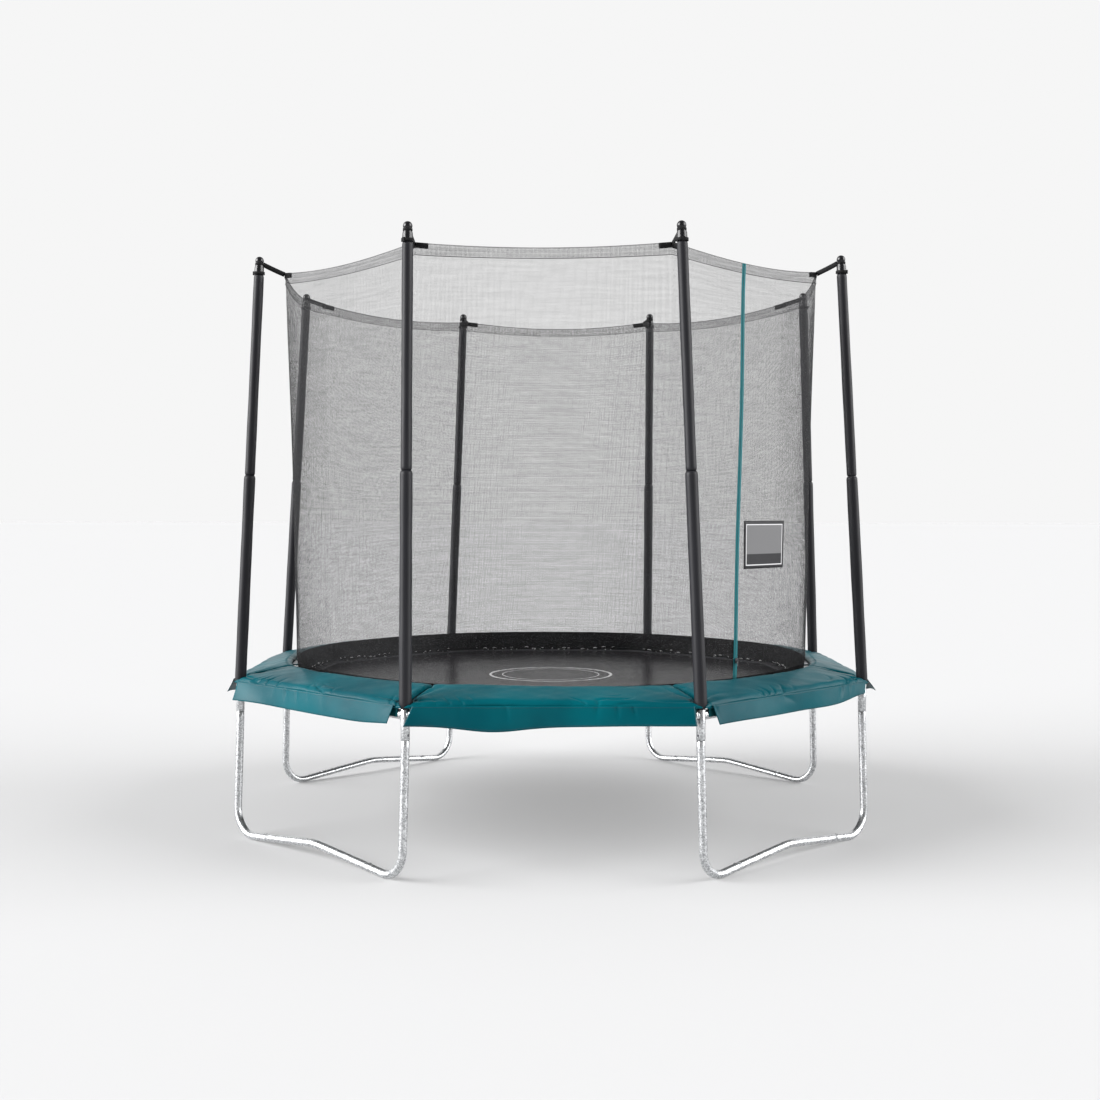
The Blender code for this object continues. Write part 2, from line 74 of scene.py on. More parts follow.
# ------------------------------------------------------------------ galvanised legs
# Four leg units of steel tube, hot-dip galvanised. Each has two bent end tubes that stand
# under neighbouring corners and a kinked middle bar, and they push together end to end.
UP = np.array([0, 0, 1.0])
SIDES = 8
STEP = 2 * math.pi / SIDES
CORNER_0 = math.radians(247.5)
TUBE_R = 0.0165
SOCKET_R = 0.0188
rail_low, rail_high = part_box("frame_rail_1")
INRADIUS = -rail_low[1] - SOCKET_R
CORNER_R = INRADIUS / math.cos(STEP / 2)
HALF_SIDE = CORNER_R * math.sin(STEP / 2)
STUB_BOTTOM = rail_low[2]
STUB_TOP = rail_high[2]
EASED_END = [0.0013, 0.0004, 0.0004, 0.0013]
LEG_SPLAY = 0.014
FOOT_INSET = 0.122
LEG_BEND_R = 0.108
LEG_BAR_REACH = 0.335
LEG_KINK_Z = 0.060
LEG_SIDES = (1, 3, 5, 7)


def shell(points, wrap_rows=False, wrap_columns=False, caps=False):
    """Quads between neighbours in a (rows, columns, 3) grid, with end rings closed if capped."""
    rows, columns = points.shape[:2]
    index = np.arange(rows * columns).reshape(rows, columns)
    net = np.vstack([index, index[:1]]) if wrap_rows else index
    net = np.hstack([net, net[:, :1]]) if wrap_columns else net
    quads = np.stack([net[:-1, :-1], net[:-1, 1:], net[1:, 1:], net[1:, :-1]], -1)
    faces = quads.reshape(-1, 4).tolist()
    if caps:
        faces += [index[0][::-1].tolist(), index[-1].tolist()]
    return points.reshape(-1, 3), faces


def closed(rings):
    """A shell from a stack of closed rings, capped at both ends."""
    return shell(rings, wrap_columns=True, caps=True)


def unit(vectors):
    """The same directions at length one."""
    return vectors / np.linalg.norm(vectors, axis=-1, keepdims=True)


def make_piece(name, shells, material, outward=True, uv=None):
    """One object from one or more shells, smooth but for its caps, with its place in its mesh."""
    points, faces, start = [], [], 0
    for some_points, some_faces in shells:
        points.append(some_points)
        faces += [[i + start for i in face] for face in some_faces]
        start += len(some_points)
    mesh = bpy.data.meshes.new(name)
    mesh.from_pydata(np.concatenate(points).tolist(), [], faces)
    if uv is not None:
        layer = mesh.uv_layers.new(name="cloth")
        corners = np.zeros(len(mesh.loops), dtype=np.int64)
        mesh.loops.foreach_get("vertex_index", corners)
        layer.data.foreach_set("uv", uv.reshape(-1, 2)[corners].ravel())
    if outward:
        shape = bmesh.new()
        shape.from_mesh(mesh)
        bmesh.ops.recalc_face_normals(shape, faces=shape.faces)
        shape.to_mesh(mesh)
        shape.free()
    sizes = np.zeros(len(mesh.polygons), dtype=np.int64)
    mesh.polygons.foreach_get("loop_total", sizes)
    mesh.polygons.foreach_set("use_smooth", sizes <= 4)
    mesh.materials.append(material)
    made = bpy.data.objects.new(name, mesh)
    bpy.context.scene.collection.objects.link(made)
    return made


def sweep(path, radius, across, sides=20):
    """A round tube: circles of the given radius square to the path, turned from one direction."""
    path = np.asarray(path, float)
    radius = np.broadcast_to(np.asarray(radius, float), len(path))
    run = unit(np.gradient(path, axis=0))
    first = unit(across - run * (run @ across)[:, None])
    second = np.cross(run, first)
    turn = np.linspace(0, 2 * math.pi, sides, endpoint=False)
    ring = np.cos(turn)[None, :, None] * first[:, None] + np.sin(turn)[None, :, None] * second[:, None]
    return closed(path[:, None] + radius[:, None, None] * ring)


def rounded_run(start, end, radius, edge=0.0012, middle=2):
    """Path and radii of a straight tube whose two end edges are eased."""
    start, end = np.asarray(start, float), np.asarray(end, float)
    long = np.linalg.norm(end - start)
    inner = np.linspace(edge, long - edge, middle)
    places = np.concatenate([[0, edge * 0.35], inner, [long - edge * 0.35, long]])
    radii = np.concatenate([[radius - edge, radius - edge * 0.3], np.full(middle, radius),
                            [radius - edge * 0.3, radius - edge]])
    return start + (end - start) * (places / long)[:, None], radii


def polar(radius, angle, height):
    """Points this far from the centre line, in this direction, at this height."""
    return np.stack(np.broadcast_arrays(radius * np.cos(angle), radius * np.sin(angle), height), -1)


def side_axes(side):
    """Outward and onward directions of a flat side."""
    middle = CORNER_0 + (side + 0.5) * STEP
    return (np.array([math.cos(middle), math.sin(middle), 0.0]),
            np.array([-math.sin(middle), math.cos(middle), 0.0]))


def leg_height(offset):
    """Height of the bottom bar: it rises from each foot to a soft kink in the middle."""
    soft = np.sqrt(offset ** 2 + 0.03 ** 2) - 0.0013
    return TUBE_R + (LEG_KINK_Z - TUBE_R) * (1 - soft / (HALF_SIDE - FOOT_INSET))


class Wire:
    """An output in a node tree. Arithmetic on it adds Math nodes."""

    def __init__(self, paint, socket):
        self.paint, self.socket = paint, socket

    def math(self, operation, *values):
        return self.paint.add("ShaderNodeMath", {"operation": operation}, dict(enumerate(values)))

    def __add__(self, other):
        return self.math("ADD", self, other)

    def __sub__(self, other):
        return self.math("SUBTRACT", self, other)

    def __rsub__(self, other):
        return self.math("SUBTRACT", other, self)

    def __mul__(self, other):
        return self.math("MULTIPLY", self, other)

    __radd__ = __add__
    __rmul__ = __mul__

    def wave(self, period):
        """From 0 to 1 and back once in each period."""
        turned = self * (2 * math.pi / period)
        return 0.5 + 0.5 * turned.math("SINE", turned)

    def above(self, low, high):
        """0 below low, 1 above high, straight between."""
        return self.paint.add("ShaderNodeMapRange", {"clamp": True}, {0: self, 1: low, 2: high})


class Paint:
    """A material with its Principled shader, and one method that adds any other node."""

    def __init__(self, name, colour, roughness, metallic=0.0, specular=0.5):
        self.material = bpy.data.materials.new(name)
        self.material.use_nodes = True
        self.tree = self.material.node_tree
        self.shader = self.tree.nodes["Principled BSDF"]
        self.set("Base Color", (*colour, 1.0))
        self.set("Roughness", roughness)
        self.set("Metallic", metallic)
        self.set("Specular IOR Level", specular)

    def add(self, kind, settings=None, inputs=None, output=0):
        node = self.tree.nodes.new(kind)
        for key, value in (settings or {}).items():
            if key == "stops":
                while len(node.color_ramp.elements) < len(value):
                    node.color_ramp.elements.new(1.0)
                for element, (place, colour) in zip(node.color_ramp.elements, value):
                    element.position, element.color = place, (*colour, 1.0)
            else:
                setattr(node, key, value)
        for key, value in (inputs or {}).items():
            self.join(node.inputs[key], value)
        return Wire(self, node.outputs[output])

    def join(self, socket, value):
        if isinstance(value, Wire):
            self.tree.links.new(value.socket, socket)
        else:
            socket.default_value = value

    def set(self, socket, value):
        self.join(self.shader.inputs[socket], value)

    def place(self, output="Object"):
        return self.add("ShaderNodeTexCoord", output=output)

    def part(self, where, axis):
        """One coordinate of a place: 0 is the first."""
        return self.add("ShaderNodeSeparateXYZ", {}, {0: where}, axis)

    def scaled(self, size, by):
        """The coordinates times a vector, to stretch a pattern."""
        return self.add("ShaderNodeMapping", {"vector_type": "POINT"}, {0: size, 3: by})

    def noise(self, where, scale, detail=3.0, rough=0.55):
        return self.add("ShaderNodeTexNoise", {}, {"Vector": where, "Scale": scale, "Detail": detail,
                                                   "Roughness": rough})

    def mix(self, factor, first, second):
        return self.add("ShaderNodeMix", {"data_type": "RGBA"},
                        {0: factor, 6: (*first, 1.0), 7: (*second, 1.0)}, 2)

    def shades(self, factor, first, second):
        """Base colour: between two shades by a factor from 0 to 1."""
        self.set("Base Color", self.mix(factor, first, second))

    def bump(self, height, strength, distance):
        made = self.add("ShaderNodeBump", {}, {"Strength": strength, "Distance": distance,
                                               "Height": height})
        self.set("Normal", made)


# Zinc spangle: crystals of slightly different grey, with dull and bright patches.
zinc = Paint("galvanised_zinc", (0.60, 0.61, 0.63), 0.36, 0.92)
where = zinc.place()
spangle = zinc.add("ShaderNodeTexVoronoi", {"feature": "F1"}, {"Vector": where, "Scale": 230.0}, 1)
crystal = zinc.add("ShaderNodeSeparateColor", {}, {0: spangle}, 0)
cloudy = zinc.noise(where, 48.0, 5.0, 0.65)
tone = 0.55 * crystal + 0.45 * cloudy
zinc.set("Base Color", zinc.add("ShaderNodeValToRGB", {"stops": [
    (0.15, (0.23, 0.24, 0.25)), (0.48, (0.49, 0.50, 0.51)), (0.80, (0.78, 0.79, 0.80))]}, {0: tone}))
zinc.set("Roughness", 0.20 + 0.22 * cloudy)
zinc.bump(tone, 0.18, 0.0004)
ZINC = zinc.material


def put(piece, body, slot, *nodes):
    """Rides the piece on its body and hides the CAD nodes that it stands for; the finish (slot) is not
    used.
    """
    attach(piece, body)
    if nodes:
        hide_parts(*nodes)


def leg_end_path(side, sign):
    """Centre line of a bent end tube, from under the frame to its joint with the middle bar."""
    outward, onward = side_axes(side)
    arc = np.radians(np.linspace(0, 90, 13))
    bend_x, bend_z = HALF_SIDE - LEG_BEND_R, TUBE_R + LEG_BEND_R
    top = STUB_BOTTOM - 0.0018
    foot = HALF_SIDE - FOOT_INSET
    turn_up = np.linspace(foot, LEG_BAR_REACH + 0.0005, 5)
    offset = np.concatenate([[HALF_SIDE] * 4, bend_x + LEG_BEND_R * np.cos(arc), turn_up])
    height = np.concatenate([[top, top - 0.0004, top - 0.0015, top - 0.03],
                             bend_z - LEG_BEND_R * np.sin(arc), leg_height(turn_up)])
    height = np.maximum(height, TUBE_R)
    splay = LEG_SPLAY * np.clip((top - 0.03 - height) / (top - 0.03 - bend_z), 0, 1)
    flat = (INRADIUS + splay)[:, None] * outward + (sign * offset)[:, None] * onward
    flat[:, 2] = height
    close = flat[-1] - unit(flat[-1] - flat[-2]) * np.array([0.0015, 0.0004])[:, None]
    path = np.vstack([flat[:-1], close, flat[-1]])
    radius = np.full(len(path), TUBE_R)
    radius[[0, 1, -2, -1]] = TUBE_R - np.array(EASED_END)
    return path, radius, outward


def leg_bar_path(side):
    """Centre line of the kinked middle bar of a leg unit."""
    outward, onward = side_axes(side)
    reach = LEG_BAR_REACH
    offset = np.concatenate([[-reach, -reach + 0.0004, -reach + 0.0015], np.linspace(-0.3, 0.3, 41),
                             [reach - 0.0015, reach - 0.0004, reach]])
    path = (INRADIUS + LEG_SPLAY) * outward + offset[:, None] * onward
    path[:, 2] = leg_height(offset)
    radius = np.full(len(path), TUBE_R)
    radius[[0, 1, -2, -1]] = TUBE_R - np.array(EASED_END)
    return path, radius, outward


def dome(place, facing, radius, height, sides=12):
    """A low dome head: rings of a quarter circle that shrink towards its top."""
    facing = unit(np.asarray(facing, float))
    side = np.cross(facing, UP) if abs(facing[2]) < 0.9 else np.array([1.0, 0, 0])
    rise = np.radians([0, 0.001, 30, 60, 85])
    path = np.asarray(place) + facing * (np.array([-0.002, 0, 0, 0, 0])
                                         + height * np.sin(rise))[:, None]
    return sweep(path, radius * np.cos(rise), side, sides)


joint_screws = []
number = 1
for count, side in enumerate(LEG_SIDES, start=1):
    put(make_piece(f"leg_{count}_bar", [sweep(*leg_bar_path(side))], ZINC),
        "frame", "galvanised_steel", f"leg_bar_{count}")
    outward, onward = side_axes(side)
    for sign in (-1, 1):
        tube = make_piece(f"leg_{count}_end_{'a' if sign < 0 else 'b'}",
                          [sweep(*leg_end_path(side, sign))], ZINC)
        put(tube, "frame", "galvanised_steel", f"leg_end_{number}")
        at = (INRADIUS + LEG_SPLAY) * outward + sign * (LEG_BAR_REACH + 0.018) * onward
        at[2] = leg_height(LEG_BAR_REACH + 0.018) + TUBE_R * 0.80
        joint_screws.append(dome(at - outward * TUBE_R * 0.58, (-outward[0], -outward[1], 1.4),
                                 0.0042, 0.003))
        under = INRADIUS * outward + sign * (HALF_SIDE + TUBE_R + 0.001) * onward
        under[2] = STUB_BOTTOM + 0.019
        joint_screws.append(dome(under, sign * onward, 0.0048, 0.0032))
        number += 1

screw_paint = Paint("dark_screw_heads", (0.10, 0.10, 0.11), 0.35, 0.8)
screw_paint.set("Roughness", 0.25 + 0.3 * screw_paint.noise(screw_paint.place(), 300.0))
put(make_piece("joint_screws", joint_screws, screw_paint.material), "frame", "galvanised_steel")

# ------------------------------------------------------------------ galvanised top frame
# Eight straight rails. At each corner an upright fitting with two welded sockets takes a
# rail from either side, a leg from below and a net pole from above.
STUB_R = 0.0176
RAIL_Z = 0.638
SOCKET_REACH = 0.085


def corner_point(index, height):
    return polar(CORNER_R, CORNER_0 + index * STEP, height)


def frame_rail_shells(index):
    """A rail, its corner upright and sockets, and the bead of weld round each socket."""
    start, end = corner_point(index, RAIL_Z), corner_point(index + 1, RAIL_Z)
    before = corner_point(index - 1, RAIL_Z)
    onward, backward = unit(end - start), unit(before - start)
    upright = rounded_run(corner_point(index, STUB_BOTTOM), corner_point(index, STUB_TOP), STUB_R)
    parts = [sweep(*upright, onward, 24)]
    for way in (onward, backward):
        socket = rounded_run(start + way * 0.006, start + way * SOCKET_REACH, SOCKET_R, 0.002)
        parts.append(sweep(*socket, UP))
        bead = [start + way * (STUB_R + x) for x in (-0.004, 0.0, 0.003, 0.005)]
        parts.append(sweep(bead, [0.0193, 0.0212, 0.0204, 0.0190], UP))
    tube = rounded_run(start + onward * 0.03, end - onward * (SOCKET_REACH + 0.0005), TUBE_R)
    parts.append(sweep(*tube, UP))
    return parts


for index in range(SIDES):
    put(make_piece(f"frame_side_{index + 1}", frame_rail_shells(index), ZINC),
        "frame", "galvanised_steel", f"frame_rail_{index + 1}")

# ------------------------------------------------------------------ sleeved net poles
# Steel poles in two lengths, each in a closed-cell foam tube with a thin charcoal vinyl
# skin. The thicker lower sleeve is gathered in over the corner upright.
POLE_BOTTOM = STUB_TOP + 0.0015
POLE_JOINT = 1.560
POLE_TOP = 2.434
POLE_TOP_R = 1.366
POLE_TWIST = math.radians(-1.6)
LOWER_SLEEVE_R = 0.0242
UPPER_SLEEVE_R = 0.0214


def pole_axis(index, height):
    """A point on the pole's leaning axis."""
    share = (np.asarray(height, float) - POLE_BOTTOM) / (POLE_TOP - POLE_BOTTOM)
    radius = CORNER_R + (POLE_TOP_R - CORNER_R) * share
    return polar(radius, CORNER_0 + index * STEP + POLE_TWIST * share, height)


sleeve = Paint("charcoal_sleeve_skin", (0.05, 0.05, 0.055), 0.42, specular=0.15)
where = sleeve.place()
long_creases = sleeve.noise(sleeve.scaled(where, (60.0, 60.0, 5.0)), 1.0, 4.0, 0.6)
pebble = sleeve.noise(where, 420.0, 2.0)
patchy = sleeve.noise(where, 3.2, 3.0)
sleeve.shades(patchy, (0.010, 0.010, 0.012), (0.018, 0.018, 0.021))
sleeve.set("Roughness", 0.34 + 0.22 * long_creases)
sleeve.bump(long_creases + 0.25 * pebble, 0.5, 0.0012)
SLEEVE = sleeve.material


def sleeve_shell(index, low, high, radius, gathered):
    """A foam sleeve: a long round tube, a few soft swellings, and ends that turn in."""
    height = np.linspace(low, high, 110)
    phase = index * 1.7
    swell = 0.00035 * np.sin(height * 9.0 + phase) + 0.00025 * np.sin(height * 23.0 + 2 * phase)
    from_low, from_high = height - low, high - height
    turn_in = 0.0035 * np.exp(-from_low / 0.003) + 0.0035 * np.exp(-from_high / 0.003)
    gather = gathered * (1 - np.clip(from_low / 0.035, 0, 1)) ** 2
    return sweep(pole_axis(index, height), radius + swell - turn_in - gather, np.array([1.0, 0, 0]), 28)


for index in range(SIDES):
    lower = make_piece(f"pole_{index + 1}_lower_sleeve",
                       [sleeve_shell(index, POLE_BOTTOM, POLE_JOINT, LOWER_SLEEVE_R, 0.004)], SLEEVE)
    put(lower, "frame", "foam_sleeve", f"pole_lower_{index + 1}")
    upper = make_piece(f"pole_{index + 1}_upper_sleeve",
                       [sleeve_shell(index, POLE_JOINT + 0.0006, POLE_TOP, UPPER_SLEEVE_R, 0.0)], SLEEVE)
    put(upper, "frame", "foam_sleeve", f"pole_upper_{index + 1}")

# ------------------------------------------------------------------ pole caps and net straps
# A moulded ball-topped cap plugs each pole. A woven strap from its collar holds the net's
# top corner in towards the middle, and sewn tabs spread the pull along the net's edge.
NET_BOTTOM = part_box("net")[0][2]
NET_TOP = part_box("net")[1][2]
NET_BOTTOM_INRADIUS = 1.180
NET_TOP_INRADIUS = 1.181
NET_BOTTOM_BOW = 0.85
NET_TOP_BOW = 0.28
NET_CORNER_LIFT = 0.016
CORNERS = CORNER_0 + np.arange(SIDES) * STEP
CORNER_SHIFT = np.radians([-1.6, 0.7, 0.6, 0.2, 0.0, 0.3, -0.3, 0.0])


def outline_radius(angle, inradius, bow):
    """Distance to an eight-sided outline: a circle eased towards the straight-sided one."""
    from_middle = (angle - CORNER_0) % STEP - STEP / 2
    return inradius * (1 + (1 - bow) * (1 / np.cos(from_middle) - 1))


def net_share(height):
    return (height - NET_BOTTOM) / (NET_TOP - NET_BOTTOM)


def net_turn(angle, share):
    """How far the net is turned from the frame here: its top is pulled round at each corner."""
    return share * (POLE_TWIST + np.interp(angle, CORNERS, CORNER_SHIFT, period=2 * math.pi))


def net_corner(index, height):
    """Direction of a net corner at a height, by repeated substitution."""
    nominal = CORNER_0 + index * STEP
    angle = nominal
    for _ in range(5):
        angle = nominal + net_turn(angle, net_share(height))
    return angle


def net_point(angle, height, out=0.0, pleat=1.0):
    """A point on the hanging net: bowed outline, fine upright pleats, and a sagging top edge."""
    angle, height = np.broadcast_arrays(np.asarray(angle, float), np.asarray(height, float))
    share = net_share(height)
    bare = (angle - CORNER_0 - net_turn(angle, share)) % STEP - STEP / 2
    corner = (bare / (STEP / 2)) ** 2
    inradius = NET_BOTTOM_INRADIUS + (NET_TOP_INRADIUS - NET_BOTTOM_INRADIUS) * share
    bow = NET_BOTTOM_BOW + (NET_TOP_BOW - NET_BOTTOM_BOW) * share
    radius = inradius * (1 + (1 - bow) * (1 / np.cos(bare) - 1))
    near_top = np.clip((share - 0.85) / 0.15, 0, 1) ** 1.5
    lift = near_top * NET_CORNER_LIFT * (1.9 * corner - 0.9 + 0.25 * np.sin(3.1 * angle))
    free = np.clip((1 - share) * 14, 0, 1) * np.clip((share - 0.02) * 12, 0, 1)
    pleats = 0.0011 * np.sin(390 * angle + 3 * np.sin(23 * angle) + 2.0 * np.sin(5 * share))
    billow = 0.0030 * (1 - corner) * np.sin(share * 9.0 + angle * 5.0)
    return polar(radius + free * (billow + pleat * pleats) + out, angle, height + lift)


cap_paint = Paint("black_cap_plastic", (0.006, 0.006, 0.007), 0.22, specular=0.35)
cap_paint.set("Roughness", 0.16 + 0.2 * cap_paint.noise(cap_paint.place(), 90.0))
cap_paint.bump(cap_paint.noise(cap_paint.place(), 700.0), 0.08, 0.0004)

webbing = Paint("black_webbing", (0.016, 0.016, 0.018), 0.7, specular=0.08)
where = webbing.place()
ribs = webbing.noise(where, 900.0, 2.0)
webbing.shades(ribs, (0.004, 0.004, 0.004), (0.014, 0.014, 0.015))
webbing.bump(ribs, 0.6, 0.0006)
WEBBING = webbing.material


def cap_profile():
    """Radius and height of the cap: collar, tapered shoulder, groove and ball, bottom to top."""
    ball = np.radians(np.linspace(116, 0, 12))
    radius = np.concatenate([[0.0222, 0.0228, 0.0228, 0.0222, 0.0208, 0.0205, 0.0203, 0.0194,
                              0.0176, 0.0163, 0.0158, 0.0160], 0.0185 * np.sin(ball)])
    height = np.concatenate([[0.0, 0.0008, 0.0080, 0.0094, 0.0098, 0.0110, 0.0290, 0.0345,
                              0.0400, 0.0440, 0.0475, 0.0500], 0.0603 + 0.0185 * np.cos(ball)])
    radius[-1] = 0.0004
    return radius, height


def ribbon(path, wide, thick, facing):
    """A flat strap: a rounded-rectangle section carried along a path, its width square to facing."""
    path = np.asarray(path, float)
    run = unit(np.gradient(path, axis=0))
    out = np.broadcast_to(np.asarray(facing, float), path.shape)
    out = unit(out - run * (run * out).sum(1, keepdims=True))
    across = np.cross(run, out)
    w, t = wide / 2, thick / 2
    corners = np.array([(-w, -t * 0.6), (-w * 0.97, -t), (w * 0.97, -t), (w, -t * 0.6),
                        (w, t * 0.6), (w * 0.97, t), (-w * 0.97, t), (-w, t * 0.6)])
    ring = corners[None, :, :1] * across[:, None] + corners[None, :, 1:] * out[:, None]
    return closed(path[:, None] + ring)


def strap_path(start, end, sag, count=12):
    """From start to end with a parabola's sag."""
    t = np.linspace(0, 1, count)[:, None]
    path = start + (end - start) * t
    path[:, 2] -= (4 * sag * t * (1 - t))[:, 0]
    return path


for index in range(SIDES):
    top = pole_axis(index, POLE_TOP + 0.0005)
    axis = unit(pole_axis(index, POLE_TOP) - pole_axis(index, POLE_JOINT))
    radius, height = cap_profile()
    cap = make_piece(f"pole_{index + 1}_cap", [sweep(top + height[:, None] * axis, radius,
                                                     np.array([1.0, 0, 0]), 28)], cap_paint.material)
    put(cap, "frame", "cap_plastic", f"pole_cap_{index + 1}")

    outward = polar(1.0, CORNER_0 + index * STEP + POLE_TWIST, 0.0)
    side = np.cross(UP, outward)
    around = np.radians(np.linspace(-180, 180, 25))
    ring = np.cos(around)[:, None] * outward + np.sin(around)[:, None] * side
    tip = net_point(net_corner(index, NET_TOP), NET_TOP - 0.006, 0.004)
    neck = top + axis * 0.0455
    lug = (top + axis * 0.006 + outward * np.array([[0.020], [0.0265]])
           - side * np.array([[0.004], [0.005]]))
    straps = [ribbon(strap_path(neck - outward * 0.016, tip, 0.001), 0.021, 0.0026, side),
              ribbon(neck + 0.0175 * ring, 0.010, 0.0022, ring),
              ribbon(top + axis * 0.006 + 0.0238 * ring, 0.012, 0.0018, ring),
              ribbon(lug, 0.016, 0.010, side)]
    put(make_piece(f"pole_{index + 1}_net_strap", straps, WEBBING),
        "frame", "cap_plastic", f"pole_cap_{index + 1}")

# ------------------------------------------------------------------ springs
# Close-coiled extension springs with a hook at each end, six to a side. The outer hooks
# drop into holes in the rails and the inner ones into the rings sewn on the mat.
MAT_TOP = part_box("mat")[1][2]
MAT_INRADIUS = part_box("mat")[1][0]
MAT_BOW = 0.36
SPRINGS_PER_SIDE = 6
SPRING_SPREAD = 0.92
COIL_R = 0.0078

steel = Paint("spring_wire", (0.70, 0.70, 0.69), 0.28, 1.0)
dulled = steel.noise(steel.place(), 60.0)
steel.shades(dulled, (0.50, 0.50, 0.50), (0.84, 0.84, 0.82))
steel.set("Roughness", 0.18 + 0.25 * dulled)


def spring_shells(start, end):
    """A coil as a tube whose radius ripples round its turns, and a hooked wire at each end."""
    run = unit(end - start)
    side = np.cross(run, UP)
    body_from, body_to = start + run * 0.020, end - run * 0.016
    turns = 34
    along = np.linspace(0, 1, turns * 4 + 1)
    around = np.linspace(0, 2 * math.pi, 9)[:-1]
    ripple = 0.0009 * np.cos(2 * math.pi * turns * along[:, None] - around[None, :])
    close = 1 - 0.35 * np.exp(-along * 40) - 0.35 * np.exp(-(1 - along) * 40)
    radius = COIL_R * close[:, None] + ripple - 0.0009
    centre = body_from + (body_to - body_from) * along[:, None]
    ring = np.cos(around)[None, :, None] * side + np.sin(around)[None, :, None] * UP
    coil = closed(centre[:, None] + radius[..., None] * ring)
    hooks = []
    for root, way, reach in ((body_from, -run, 0.024), (body_to, run, 0.018)):
        t = np.linspace(0, 1, 9)
        lift = 0.006 * np.sin(t * math.pi) - 0.006 * t ** 4
        path = root + way * (reach * t)[:, None] + UP * lift[:, None]
        hooks.append(sweep(path, 0.0013, side, 6))
    return [coil, *hooks]


for side in range(SIDES):
    outward, onward = side_axes(side)
    coils = []
    for i in range(SPRINGS_PER_SIDE):
        share = (i + 0.5) / SPRINGS_PER_SIDE - 0.5
        far = outward * (INRADIUS - TUBE_R + 0.001) + onward * share * SPRING_SPREAD
        direction = math.atan2(far[1], far[0])
        far[2] = RAIL_Z + 0.002
        near = polar(outline_radius(direction, MAT_INRADIUS, MAT_BOW) + 0.012, direction, MAT_TOP - 0.003)
        coils += spring_shells(far, near)
    row = make_piece(f"springs_side_{side + 1}", coils, steel.material)
    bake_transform(row)
    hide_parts("spring_set")

# ------------------------------------------------------------------ jumping mat
# One sheet of tightly woven black-grey polypropylene, hemmed with a folded black band that
# is sewn down in rows. Triangular rings are caught in webbing loops round its edge.
MAT_THICK = 0.0022
MAT_DIP = 0.0035
HEM_WIDE = 0.062

weave = Paint("woven_mat", (0.05, 0.048, 0.052), 0.30, specular=0.09)
cloth = weave.place("UV")
across_mat = weave.part(cloth, 0)
along_mat = weave.part(cloth, 1)
threads = across_mat.wave(0.0042) * along_mat.wave(0.0030)
faded = weave.noise(cloth, 2.2, 4.0, 0.6)
streaks = weave.noise(weave.scaled(cloth, (1.2, 34.0, 1.0)), 3.0, 3.0)
lit = 0.5 * faded + 0.3 * streaks + 0.2 * threads
weave.shades(lit.above(0.25, 0.80), (0.007, 0.006, 0.007), (0.020, 0.019, 0.021))
weave.set("Roughness", 0.17 + 0.10 * faded)
weave.bump(threads, 0.12, 0.0006)

band = Paint("black_hem_band", (0.017, 0.017, 0.019), 0.72, specular=0.12)
where = band.place("UV")
rows = band.part(where, 1)
band_grain = band.noise(where, 700.0, 2.0)
band.shades(band_grain, (0.011, 0.011, 0.012), (0.036, 0.036, 0.039))
band.bump(0.6 * rows.wave(0.0022) + 0.4 * band_grain, 0.5, 0.0007)


def mat_surface(share, angle, lift=0.0):
    """The mat from its middle (share 0) to its edge (share 1), slack by a few millimetres."""
    edge = outline_radius(angle, MAT_INRADIUS - 0.001, MAT_BOW)
    dip = -MAT_DIP * (1 - share ** 2) ** 2
    return polar(edge * share, angle, MAT_TOP + dip + lift)


angle = CORNER_0 + np.linspace(0, 2 * math.pi, SIDES * 24 + 1)[:-1]
share = np.linspace(0.004, 1.0, 36)
upper = mat_surface(share[:, None], angle[None, :])
lower = upper - np.array([0, 0, MAT_THICK])
skin = np.concatenate([upper, lower[::-1]])
mat = make_piece("mat_cloth", [closed(skin)], weave.material, uv=skin[..., :2])
put(mat, "mat", "mat_weave", "mat")

edge_share = 1 - HEM_WIDE / MAT_INRADIUS
across = np.array([edge_share, edge_share + 0.0008, 0.975, 0.999, 1.003, 1.003, 0.999, 0.975, edge_share])
lift = np.array([0.0004, 0.0016, 0.0018, 0.0018, 0.0008, -0.0030, -0.0042, -0.0042, -0.0030])
hem = mat_surface(np.minimum(across, 1.0)[:, None], angle[None, :], lift[:, None])
hem[..., :2] *= (across / np.minimum(across, 1.0))[:, None, None]
hem_uv = np.stack(np.broadcast_arrays(angle[None, :] * MAT_INRADIUS, across[:, None] * MAT_INRADIUS), -1)
put(make_piece("mat_hem", [shell(hem, wrap_rows=True, wrap_columns=True)], band.material, uv=hem_uv),
    "mat", "mat_weave")


def stitches(points_on, length, gap, radius, lift):
    """Short thread stitches along a closed path: every step of length plus gap one small bead."""
    run = np.linalg.norm(np.diff(points_on, axis=0), axis=1)
    travel = np.concatenate([[0], np.cumsum(run)])
    starts = np.arange(0, travel[-1] - length, length + gap)
    t = np.array([0.0, 0.25, 0.75, 1.0])
    where_on = starts[:, None] + length * t
    path = np.stack([np.interp(where_on, travel, points_on[:, k]) for k in range(3)], -1)
    path[..., 2] += lift
    across_run = np.cross(unit(path[:, -1] - path[:, 0]), UP)
    small = radius * np.array([0.35, 1.0, 1.0, 0.35])
    around = np.radians([45, 135, 225, 315])
    ring = (np.cos(around)[None, None, :, None] * across_run[:, None, None]
            + np.sin(around)[None, None, :, None] * UP)
    points = path[:, :, None] + small[None, :, None, None] * ring
    return [closed(bead) for bead in points]


